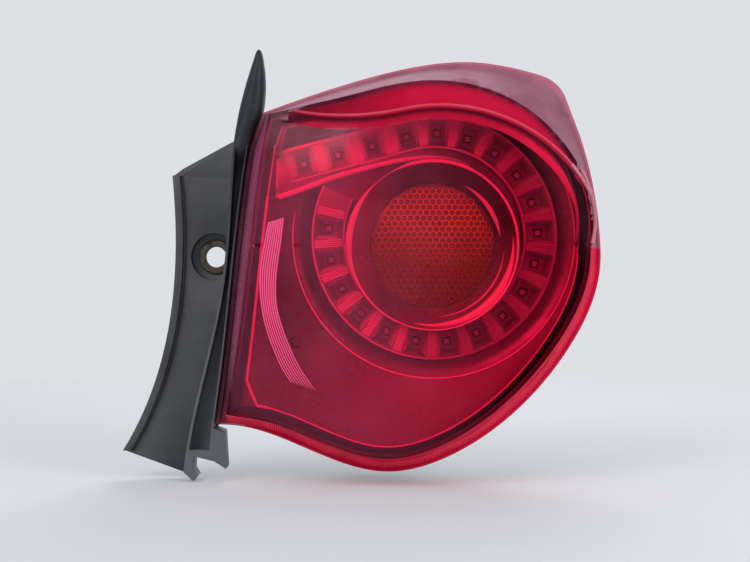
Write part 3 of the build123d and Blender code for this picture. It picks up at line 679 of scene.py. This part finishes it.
def rim_path(points, pitch):
    """Evenly spaced (X, Z, outward X, outward Z) along a smooth run of (X, Z) places."""
    curve = smooth_curve([(x, 0.0, z) for x, z in points], 40)
    obj = bpy.data.objects.new("rim", curve)
    mesh = bpy.data.meshes.new_from_object(obj)
    line = [v.co.copy() for v in mesh.vertices]
    bpy.data.objects.remove(obj)
    bpy.data.meshes.remove(mesh)
    bpy.data.curves.remove(curve)
    places = []
    left = pitch / 2
    for start, end in zip(line, line[1:]):
        run = end - start
        length = run.length
        while left < length:
            spot = start + run * (left / length)
            places.append((spot.x, spot.z, -run.z / length, run.x / length))
            left += pitch
        left -= length
    return places


def skin(rings, material):
    """Closed body through rings of points."""
    shape = bmesh.new()
    rows = [[shape.verts.new(point) for point in ring] for ring in rings]
    for low, high in zip(rows, rows[1:]):
        for i in range(len(low)):
            j = (i + 1) % len(low)
            shape.faces.new((low[i], low[j], high[j], high[i]))
    shape.faces.new(rows[0])
    shape.faces.new(rows[-1])
    obj = new_solid(shape, "skin")
    obj.data.materials.append(material)
    pick(obj)
    bpy.ops.object.shade_smooth_by_angle(angle=radians(60))
    return obj


def dress_cad(node, material, round_mm):
    """Gives a CAD node its finish and soft edges."""
    obj = nodes[node]
    obj.data.materials.clear()
    obj.data.materials.append(material)
    weld = obj.modifiers.new("weld", "WELD")
    weld.merge_threshold = MERGE
    if round_mm:
        bevel = obj.modifiers.new("soft_edges", "BEVEL")
        bevel.width = round_mm * MM
        bevel.segments = 2
        bevel.limit_method = "ANGLE"
        bevel.angle_limit = radians(35)
        bevel.miter_outer = "MITER_ARC"
    pick(obj)
    bpy.ops.object.shade_smooth_by_angle(angle=radians(35))


# Lens

def lens_finish(face):
    """Finish of one face of the lens, by its place and by the way it faces."""
    x = face.center.x / MM
    z = face.center.z / MM
    height = -face.center.y / MM
    above = z > BROW_END
    below = z < BROW_END
    rearward = -face.normal.y
    square_on = 0.9
    if height < FOOT_H:
        if rearward < -square_on:
            return RED_LENS
        if below and x > BELLY_LEFT and rearward > square_on:
            return BELLY
        return LIP
    turn = brow_turn(x, z)
    reach = brow_distance(x, z)
    upright = abs(face.normal.x * cos(turn) + face.normal.z * sin(turn)) > 0.66
    on_waist = abs(height - WAIST_H) < 0.2
    # The pale wall, whose film is a painted reflection of the sky
    if above and reach > WALL_REACH and (upright or on_waist) and height < WAIST_H + 0.3:
        return PALE_WALL
    if below and 0.05 < rearward < 0.6 and face.normal.x > -0.7:
        return BELLY
    if above and height > WAIST_H and reach > brow_radius(height, LENS_WALL) - 0.6:
        return BROW
    return RED_LENS


def red_lens():
    """Copy of the CAD lens with soft edges, and with finishes of their own for wall, lip, belly and brow; the
    wall's is a painted reflection and the lip's a painted highlight.
    """
    lens = cad_copy("outer_lens", "red_lens", RED_LENS)
    for finish in LENS_FINISHES[1:]:
        lens.data.materials.append(finish)
    cut_level(lens, BROW_END)
    for face in lens.data.polygons:
        face.material_index = LENS_FINISHES.index(lens_finish(face))
    soften(lens, 30, 0.9, 3)
    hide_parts("outer_lens")


def brow_crease():
    """Bead along the crease where the brow's slope leaves the dome, and a pale one at its right end; their
    pale films paint the highlights on the crease.
    """
    fold, near, slope_low_z, end_top_z = 11, 0.4, 30.0, 51.0

    def on_slope(x, z, height):
        off = brow_distance(x, z) - brow_radius(height, 0.0)
        return z > slope_low_z and height > WAIST_H + 0.6 and abs(off) < near

    def at_end(x, z, height):
        return BROW_END < z < end_top_z and height > WAIST_H - 2.5 and 91.5 < brow_distance(x, z) < 96.6

    keep(sharp_lines("outer_lens", fold, on_slope, 1.8), "brow_crease", CREASE)
    keep(sharp_lines("outer_lens", fold, at_end, 2.2), "brow_crease_end", PALE_CREASE)


def brow_liner():
    """Liner on the inside of the brow's slope and of the wall below it, in silvering with painted light that
    is brightest up and to the right.
    """
    gap = 0.06
    thickness = 0.6
    liner = cad_copy("outer_lens", "brow_liner", LINER)
    cut_level(liner, BROW_END)
    shape = open_shape(liner)
    others = []
    for face in shape.faces:
        middle = face.calc_center_median() / MM
        height = -middle.y
        turn = brow_turn(middle.x, middle.z)
        reach = brow_distance(middle.x, middle.z)
        inwards = Vector((-cos(turn), BROW_LEAN, -sin(turn))).normalized()
        slope = abs(reach - brow_radius(height, LENS_WALL)) < 0.6 and face.normal.dot(inwards) > 0.97
        outwards = face.normal.x * cos(turn) + face.normal.z * sin(turn)
        wall = reach > WALL_REACH and height > 20.0 and outwards < -0.5
        if middle.z < BROW_END or not (slope or wall):
            others.append(face)
    bmesh.ops.delete(shape, geom=others, context="FACES")
    shape.normal_update()
    for point in shape.verts:
        point.co += point.normal * gap * MM
    close_shape(shape, liner.data)
    pick(liner)
    wall = liner.modifiers.new("wall", "SOLIDIFY")
    wall.thickness = thickness * MM
    wall.offset = 1.0
    bpy.ops.object.modifier_apply(modifier="wall")
    bpy.ops.object.shade_smooth_by_angle(angle=radians(30))


# Runs of the lens's rim that carry ribs
INBOARD_EDGE = [(2.2, -96.0), (9.0, -44.0), (16.5, 25.0), (22.0, 64.0)]
BELLY_EDGE = [
    (233.0, 4.0), (231.0, -17.0), (214.5, -54.0), (184.0, -91.0), (143.0, -119.5), (105.5, -129.3),
    (71.0, -121.5), (36.0, -107.0), (8.0, -101.6),
]


def wall_flutes(name, points, material, top_h):
    """Fine upright ribs on the lens's side wall, which leans in, along a run of its rim."""
    pitch, half_width, ridge, sunk = 1.15, 0.42, 0.32, 0.2
    low_h, rim_h, lean, inset = 21.2, 18.0, 0.27, 1.5
    shape = bmesh.new()
    for x, z, out_x, out_z in rim_path(points, pitch):
        rows = []
        for height in (low_h, top_h):
            depth = inset + (height - rim_h) * lean
            row = []
            for side, out in ((half_width, -sunk), (0.0, ridge), (-half_width, -sunk)):
                corner_x = x - out_x * depth + out_z * side + out_x * out
                corner_z = z - out_z * depth - out_x * side + out_z * out
                row.append(shape.verts.new(place(corner_x, corner_z, height)))
            rows.append(row)
        low, high = rows
        for i in range(3):
            j = (i + 1) % 3
            shape.faces.new((low[i], low[j], high[j], high[i]))
        shape.faces.new(low[::-1])
        shape.faces.new(high)
    keep(new_solid(shape, name), name, material)


# Left and right edge of the bundle of ribs, from its top, and the share of a rib's width at each place
BUNDLE_LEFT = [
    (35.6, 19.2), (33.2, 7.8), (30.7, -7.6), (30.4, -19.3), (31.6, -31.0),
    (34.1, -42.6), (38.2, -54.2), (43.4, -65.8), (48.1, -73.0),
]
BUNDLE_RIGHT = [
    (45.1, 21.9), (43.5, 7.7), (41.2, -7.8), (40.5, -19.3), (41.1, -29.4),
    (43.9, -40.1), (48.6, -52.5), (54.7, -64.9), (60.1, -72.8),
]
BUNDLE_SWELL = (1.0, 1.0, 1.0, 1.0, 0.95, 0.85, 0.75, 0.65, 0.5, 0.3)


def glint_flutes():
    """Bundle of fine ribs moulded into the inboard side of the lens, longer to the right, in white that
    paints the highlights they catch.
    """
    count = 8
    group = []
    for i in range(count):
        share = 0.06 + 0.88 * i / (count - 1)
        line = []
        for (left_x, left_z), (right_x, right_z) in zip(BUNDLE_LEFT, BUNDLE_RIGHT):
            line.append((left_x + (right_x - left_x) * share, left_z + (right_z - left_z) * share))
        before, end = line[-2:]
        reach = 0.04 + 0.62 * share
        line.append((end[0] + (end[0] - before[0]) * reach, end[1] + (end[1] - before[1]) * reach))
        points = [place(x, z, dome_height(x, z) - LENS_WALL / 2) for x, z in line]
        group.append(bead(points, 1.0, BUNDLE_SWELL))
    keep(joined(group), "glint_flutes", GLINT)


# Trim strip

def vault(z, left, right, back, side, top):
    """Ring at a level: flat at the back, upright sides and a round vault in front."""
    steps = 12
    middle = (left + right) / 2
    half = (right - left) / 2
    ring = [place(left, z, back)]
    for i in range(steps + 1):
        turn = radians(180.0 * i / steps)
        ring.append(place(middle - half * cos(turn), z, side + (top - side) * sin(turn)))
    ring.append(place(right, z, back))
    return ring


# Level Z, left and right X, and heights of the back, the sides and the top
BLADE = [
    (64.5, 12.8, 21.8, 11.0, 29.2, 30.2),
    (70.0, 13.4, 23.8, 11.0, 27.6, 30.4),
    (75.0, 14.0, 25.7, 11.0, 26.2, 30.4),
    (80.0, 14.8, 27.6, 12.0, 25.2, 30.4),
    (85.0, 15.6, 29.4, 13.3, 24.4, 30.4),
    (90.0, 16.6, 30.5, 14.5, 23.7, 30.4),
    (95.0, 17.8, 31.2, 15.8, 23.3, 30.4),
    (100.0, 19.1, 31.6, 17.0, 23.0, 30.3),
    (105.0, 20.5, 31.7, 18.3, 23.0, 30.2),
    (110.0, 22.1, 31.5, 19.5, 23.0, 30.0),
    (114.0, 23.4, 31.1, 20.5, 23.0, 29.6),
    (118.0, 24.7, 30.6, 21.5, 23.2, 29.0),
    (121.0, 25.7, 30.1, 22.3, 23.6, 28.4),
    (122.6, 26.4, 29.6, 22.8, 24.0, 27.6),
    (123.5, 27.2, 29.0, 23.6, 24.4, 26.4),
    (123.7, 27.9, 28.3, 24.4, 24.6, 25.2),
]
CHANNEL_END = [
    (46.0, 12.3, 18.2, 16.0, 16.6, 16.9),
    (50.0, 12.8, 18.8, 16.0, 17.0, 17.8),
    (54.0, 13.2, 19.4, 16.0, 18.6, 20.0),
    (57.0, 13.4, 19.8, 16.0, 21.4, 23.0),
    (60.0, 13.7, 20.2, 16.0, 25.0, 26.6),
    (62.5, 13.9, 20.6, 16.0, 27.8, 29.2),
    (64.5, 14.0, 21.0, 16.0, 29.3, 30.35),
    (67.0, 14.2, 21.6, 16.0, 29.0, 30.3),
]


def soft_strip():
    """Copy of the CAD trim strip with a well rounded blade and a soft end to its channel."""
    strip = cad_copy("trim_strip", "soft_strip", TRIM)
    cut_level(strip, BLADE_Z, drop_above=True)
    soften(strip, 35, 0.4, 2)
    blade = skin([vault(*row) for row in BLADE], TRIM)
    end = skin([vault(*row) for row in CHANNEL_END], TRIM)
    strip = joined([strip, blade, end])
    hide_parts("trim_strip")


# Optics behind the lens

# The fold of the bezel's mouth where it is too flat to be found as a sharp edge
MOUTH_FOLD = [
    (51.7, -10.1), (50.4, -4.0), (49.7, 0.6), (49.2, 5.0), (49.0, 10.5), (49.1, 15.0), (49.5, 19.9),
    (50.0, 23.5), (50.5, 26.4),
]
MOUTH_SWELL = (1.0, 1.0, 1.0, 1.0, 0.9, 0.8, 0.7, 0.55, 0.4)


def bright_lines():
    """Painted highlights: white beads along the edge of the bezel and of its mouth, thicker on the bezel's
    left side.
    """
    fold, thick, thin = 10, 1.9, 1.1
    screw_clear, band_clear, tail_left = 7.0, 13.0, 40.0

    def on_line(x, z, height):
        by_screw = hypot(x - BEZEL_SCREW[0], z - BEZEL_SCREW[1]) < screw_clear
        by_band = band_offset(x, z) <= band_clear and x >= tail_left
        return height > BEZEL_H - 0.5 and not by_screw and not by_band

    def on_left(x, z, height):
        return x < BEZEL_LEFT and on_line(x, z, height)

    def on_others(x, z, height):
        return x >= BEZEL_LEFT and on_line(x, z, height)

    group = [
        sharp_lines("inner_bezel", fold, on_left, thick),
        sharp_lines("inner_bezel", fold, on_others, thin),
        bead([place(x, z, BEZEL_H) for x, z in MOUTH_FOLD], thin, MOUTH_SWELL),
    ]
    keep(joined(group), "bright_lines", GLINT)


def crescent(inset, depth, start, end, width, peak):
    """Bead on an arc in the bowl, inset and below its rim, that swells to a share of its length: a painted
    highlight.
    """
    steps = 24
    points = []
    swell = []
    for i in range(steps + 1):
        share = i / steps
        angle = start + (end - start) * share
        points.append(place(*around(LAMP, angle, BOWL_RADIUS - inset), BOWL_H - depth))
        slope = share / peak if share < peak else (1.0 - share) / (1.0 - peak)
        swell.append(0.08 + 0.92 * sin(radians(90 * slope)))
    return bead(points, width, swell)


def bowl_glints():
    """Painted highlights in the bowl: a white bead along its rim, thick at its top, with a crescent on its
    left and three inside it.
    """
    steps = 48
    rim = []
    swell = []
    for i in range(steps + 1):
        angle = 360.0 * i / steps
        rim.append(place(*around(LAMP, angle, BOWL_RADIUS - 0.8), BOWL_H))
        # Width of the painted highlight round the rim: full at the top, thin at the upper left, middling
        # elsewhere
        if 65 < angle < 112:
            swell.append(1.0)
        elif 118 < angle < 150:
            swell.append(0.2)
        else:
            swell.append(0.5 + 0.22 * cos(radians(angle)) ** 2 + 0.12 * sin(radians(angle)))
    group = [
        bead(rim, 2.2, swell),
        crescent(0.6, 0.0, 134, 206, 4.2, 0.5),
        crescent(10.0, 9.6, 62, 8, 3.0, 0.6),
        crescent(3.4, 1.9, 6, -104, 5.0, 0.45),
        crescent(8.2, 7.6, -4, -86, 1.4, 0.4),
    ]
    keep(joined(group), "bowl_glints", GLINT)


# The sill's line below the tail, the corners of the panel at the tail's end, and heights of panel and sill
SILL = [
    (39.3, 33.8), (54.3, 39.1), (74.1, 46.5), (95.4, 52.3), (108.0, 55.2), (118.0, 57.0), (131.6, 58.3),
    (145.0, 56.9), (156.0, 52.6),
]
TAIL_END = [(39.3, 33.8), (39.8, 60.2), (44.6, 61.5), (49.0, 42.6), (53.0, 41.0)]
PANEL_FOOT_H = 37.7
PANEL_H = 40.6
SILL_H = 42.6


def band_frame():
    """Beads along the LED band's edges and round the end of its tail that paint its bright lines, in
    silvering with painted light.
    """
    group = []
    for offset, tail_swell in ((BAND_EDGE, 1.0), (-BAND_EDGE, 0.3)):
        points = band_line(offset, BAND_H + 0.1)
        swell = []
        for i in range(len(points)):
            # The swell shapes the painted highlight: set on the tail, then thinner, widest round the top of
            # the ring and thin beyond
            turn = (i - len(TAIL_SHARES)) / BAND_STEPS * BAND_ARC
            if turn < 25:
                swell.append(tail_swell)
            elif turn < 60:
                swell.append(0.45)
            elif turn < 150:
                swell.append(0.8)
            else:
                swell.append(0.3)
        group.append(bead(points, 2.4, swell))
    group.append(bead([place(x + 0.4, z, PANEL_H) for x, z in TAIL_END[:2]], 1.0))
    group.append(bead([place(x, z - 0.6, PANEL_H) for x, z in TAIL_END[1:3]], 2.2))
    keep(joined(group), "band_frame", BAND_RIB)


def band_sill():
    """Sill below the band's tail, in white that paints the bright line along it, the apron that joins it to
    the band and a panel at the tail's end.

    The sill stands on the bezel, then on the lower ground right of it, and sinks away at its right end.
    """
    high_foot, low_foot, foot_fall, fall_x = 37.8, 31.8, 0.45, 54.0
    sink_x, sink_run, least = 108.0, 46.0, 0.04
    ridge = []
    apron = []
    for x, z, up_x, up_z in rim_path(SILL, 3.0):
        foot = max(low_foot, min(high_foot, high_foot - (x - fall_x) * foot_fall))
        lift = 1.0 if x < sink_x else max(0.0, 1.0 - (x - sink_x) / sink_run)
        rise = (SILL_H - foot) * (least + (1.0 - least) * lift)
        half = 0.5 + lift
        edge = max(half + 0.6, -BAND_EDGE - 0.4 - band_offset(x, z))
        top = [(-half, 0.9), (-half * 0.7, 0.97), (0.0, 1.0), (half * 0.7, 0.97), (half, 0.9)]
        slope = [(half - 0.3, 0.81), (edge, 0.89)]
        for rings, profile in ((ridge, top), (apron, slope)):
            outline = [(profile[0][0], 0.0), *profile, (profile[-1][0], 0.0)]
            rings.append([place(x + up_x * a, z + up_z * a, foot + rise * share) for a, share in outline])
    keep(skin(ridge, GLINT), "band_sill", GLINT)
    panel = skin([[place(x, z, height) for x, z in TAIL_END] for height in (PANEL_FOOT_H, PANEL_H)], CELLS)
    keep(joined([skin(apron, CELLS), panel]), "band_apron", CELLS)


def rib(offset, height, length, width):
    """Round rib across the band, at an offset along it."""
    bpy.ops.mesh.primitive_cylinder_add(
        vertices=8, radius=width / 2 * MM, depth=length * MM, location=place(0, offset, height),
        rotation=(0, radians(90), 0))
    set_in_mesh()
    bpy.ops.object.shade_smooth_by_angle(angle=radians(50))
    return bpy.context.object


def band_flutes():
    """Fine ribs across the band between its LEDs, and on the sloping sides of their cells, in silvering with
    painted light.
    """
    count, pitch = 4, 1.2
    between = joined([rib((i - (count - 1) / 2) * pitch, 0.0, 16.0, 0.9) for i in range(count)])
    sides = []
    for offset, height in ((4.7, -9.6), (5.5, -6.0), (6.3, -2.2)):
        for way in (-1, 1):
            sides.append(rib(way * offset, height, 13.0, 0.8))
    beside = joined(sides)
    group = [copies(between, band_places(0.5), BAND_H), copies(beside, band_places(0.0), BAND_H)]
    keep(joined(group), "band_flutes", BAND_RIB)


def led_windows():
    """Small bright window with rounded sides on top of each LED."""
    across, depth, step = 2.8, 0.8, 0.3
    bpy.ops.mesh.primitive_cube_add(size=1.0)
    master = bpy.context.object
    master.scale = (across * MM, depth * MM, across * MM)
    set_in_mesh()
    for face in master.data.polygons:
        face.select = face.normal.y < -0.9
    edit(master)
    bpy.ops.mesh.inset(thickness=step * MM)
    bpy.ops.mesh.extrude_region_move(TRANSFORM_OT_translate={"value": (0, -step * MM, 0)})
    bpy.ops.transform.resize(value=(0.7, 1.0, 0.7))
    leave_edit()
    soft = master.modifiers.new("soft", "BEVEL")
    soft.width = 0.2 * MM
    soft.segments = 2
    bpy.ops.object.modifier_apply(modifier="soft")
    bpy.ops.object.shade_smooth_by_angle(angle=radians(40))
    keep(copies(master, band_places(0.0), LED_TOP_H), "led_windows", GLINT)


def honeycomb_cell(pitch):
    """Sunk cell of six sides with a flat rib round it, facing -Y."""
    rib_width, sink, taper = 0.42, 0.9, 0.55
    bpy.ops.mesh.primitive_circle_add(
        vertices=6, radius=pitch / ROOT_3 * MM, fill_type="NGON", rotation=(radians(90), 0, 0))
    cell = bpy.context.object
    set_in_mesh()
    edit(cell)
    bpy.ops.mesh.select_all(action="SELECT")
    bpy.ops.mesh.inset(thickness=rib_width * MM)
    bpy.ops.mesh.extrude_region_move(TRANSFORM_OT_translate={"value": (0, sink * MM, 0)})
    bpy.ops.transform.resize(value=(taper, 1.0, taper))
    leave_edit()
    cell.data.materials.append(AMBER)
    cell.data.materials.append(AMBER_RIB)
    for face in cell.data.polygons:
        face.material_index = 1 if face.center.y < 0.0001 * MM else 0
    return cell


def amber_lens():
    """Turn lens with a honeycomb of raised ribs round small sunk cells."""
    pitch, rows, field_radius = 3.75, 11, 34.6
    top_h, drop, drop_radius = 40.1, 6.0, 36.5
    lens = cad_copy("turn_lens", "amber_lens", AMBER)
    pick(lens)
    bpy.ops.object.shade_smooth_by_angle(angle=radians(30))
    cell = honeycomb_cell(pitch)
    group = []
    for row in range(-rows, rows + 1):
        for column in range(-rows, rows + 1):
            x = (column + (row % 2) / 2) * pitch
            z = row * pitch * ROOT_3 / 2
            reach = hypot(x, z)
            if reach > field_radius:
                continue
            pick(cell)
            bpy.ops.object.duplicate()
            copy = bpy.context.object
            height = top_h - drop * (reach / drop_radius) ** 2
            copy.location = place(LAMP[0] + x, LAMP[1] + z, height)
            group.append(copy)
    bpy.data.objects.remove(cell)
    field = joined(group)
    pick(field)
    set_in_mesh()
    edit(field, "EDGE")
    bpy.ops.mesh.select_all(action="SELECT")
    bpy.ops.mesh.remove_doubles(threshold=0.4 * MM)
    bpy.ops.mesh.select_all(action="DESELECT")
    bpy.ops.mesh.select_non_manifold()
    bpy.ops.mesh.extrude_region_move(TRANSFORM_OT_translate={"value": (0, 1.2 * MM, 0)})
    leave_edit()
    piece = joined([lens, field])
    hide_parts("turn_lens")


for node, (material, round_mm) in FINISHES.items():
    dress_cad(node, material, round_mm)

# The crease and the liner copy the CAD lens, so they come before the lens that replaces it
brow_crease()
brow_liner()
red_lens()
soft_strip()
bright_lines()
bowl_glints()
band_frame()
band_sill()
band_flutes()
led_windows()
glint_flutes()
amber_lens()
wall_flutes("belly_flutes", BELLY_EDGE, RED_FLUTE, 46.0)
wall_flutes("inboard_flutes", INBOARD_EDGE, PALE_FLUTE, 40.0)


# Camera, light and floor

def make_camera():
    """Camera that looks square at the lamp from behind the car."""
    bpy.ops.object.camera_add(location=(0.0974, -0.850, -0.0147), rotation=(radians(90), 0, 0))
    camera = bpy.context.object
    camera.data.lens = 66.2
    camera.data.sensor_width = 36.0
    camera.data.clip_start = 0.01
    bpy.context.scene.camera = camera


def make_lamp(name, spot, size, watts, colour):
    """Round soft lamp that shines at the middle of the part."""
    bpy.ops.object.light_add(type="AREA", location=spot)
    lamp = bpy.context.object
    lamp.name = name
    lamp.data.shape = "DISK"
    lamp.data.size = size
    lamp.data.energy = watts
    lamp.data.color = colour
    run = [to - start for to, start in zip(PART_MIDDLE, spot)]
    lamp.rotation_euler = (atan2(hypot(run[0], run[1]), -run[2]), 0.0, atan2(-run[0], run[1]))


def make_world():
    """Pale background for the eye, and soft light that is strongest from above and the left."""
    world = bpy.data.worlds.new("pale_studio")
    bpy.context.scene.world = world
    world.use_nodes = True
    tree = world.node_tree
    tree.nodes.clear()
    output = add_node(tree, "ShaderNodeOutputWorld", (600, 0))
    seen = add_node(tree, "ShaderNodeBackground", (100, 100))
    seen.inputs["Color"].default_value = (0.730, 0.745, 0.775, 1.0)
    coords = add_node(tree, "ShaderNodeTexCoord", (-900, -200))
    lean = add_node(tree, "ShaderNodeVectorMath", (-700, -200), "DOT_PRODUCT")
    lean.inputs[1].default_value = (-0.6, 0.0, 0.8)
    tree.links.new(coords.outputs["Generated"], lean.inputs[0])
    level = spread(tree, (-500, -200), lean.outputs["Value"], -0.6, 0.8, 0.12, 0.8)
    soft = add_node(tree, "ShaderNodeBackground", (100, -100))
    soft.inputs["Color"].default_value = (0.95, 0.97, 1.0, 1.0)
    tree.links.new(level, soft.inputs["Strength"])
    rays = add_node(tree, "ShaderNodeLightPath", (-400, 100)).outputs
    direct = two_values(tree, (-200, 0), "MAXIMUM", rays["Is Camera Ray"], rays["Is Transmission Ray"])
    in_sight = two_values(tree, (0, 200), "MAXIMUM", direct, rays["Is Glossy Ray"])
    mix = add_node(tree, "ShaderNodeMixShader", (350, 0))
    tree.links.new(in_sight, mix.inputs["Fac"])
    tree.links.new(soft.outputs["Background"], mix.inputs[1])
    tree.links.new(seen.outputs["Background"], mix.inputs[2])
    tree.links.new(mix.outputs["Shader"], output.inputs["Surface"])


def make_floor():
    """Pale round floor that fades out into the background."""
    spot = (PART_MIDDLE[0], PART_MIDDLE[1], FLOOR_Z)
    bpy.ops.mesh.primitive_circle_add(vertices=96, radius=1.2, fill_type="NGON", location=spot)
    floor = bpy.context.object
    floor.name = "floor"
    material, tree, output = new_material("pale_floor")
    coords = add_node(tree, "ShaderNodeTexCoord", (-800, 0))
    length = add_node(tree, "ShaderNodeVectorMath", (-600, 0), "LENGTH")
    tree.links.new(coords.outputs["Object"], length.inputs[0])
    fade = ramp(tree, (-400, 0), length.outputs["Value"], [(0.25, grey(0.0)), (1.0, grey(1.0))])
    surface = add_node(tree, "ShaderNodeBsdfPrincipled", (0, 100))
    surface.inputs["Base Color"].default_value = (0.445, 0.46, 0.485, 1.0)
    surface.inputs["Roughness"].default_value = 0.9
    surface.inputs["Emission Color"].default_value = (0.93, 0.95, 1.0, 1.0)
    surface.inputs["Emission Strength"].default_value = 0.15
    clear = add_node(tree, "ShaderNodeBsdfTransparent", (0, -100))
    mix = add_node(tree, "ShaderNodeMixShader", (300, 0))
    tree.links.new(fade, mix.inputs["Fac"])
    tree.links.new(surface.outputs["BSDF"], mix.inputs[1])
    tree.links.new(clear.outputs["BSDF"], mix.inputs[2])
    tree.links.new(mix.outputs["Shader"], output.inputs["Surface"])
    floor.data.materials.append(material)


make_camera()
make_world()
make_floor()
make_lamp("key", (-0.55, -1.0, 0.75), 0.8, 8.5, (1.0, 0.98, 0.96))
make_lamp("fill", (0.95, -0.7, 0.35), 0.7, 6.5, (0.96, 0.98, 1.0))
make_lamp("back", (0.3, 0.9, 0.7), 0.7, 6.0, (1.0, 1.0, 1.0))
bpy.context.scene.view_settings.view_transform = "Standard"
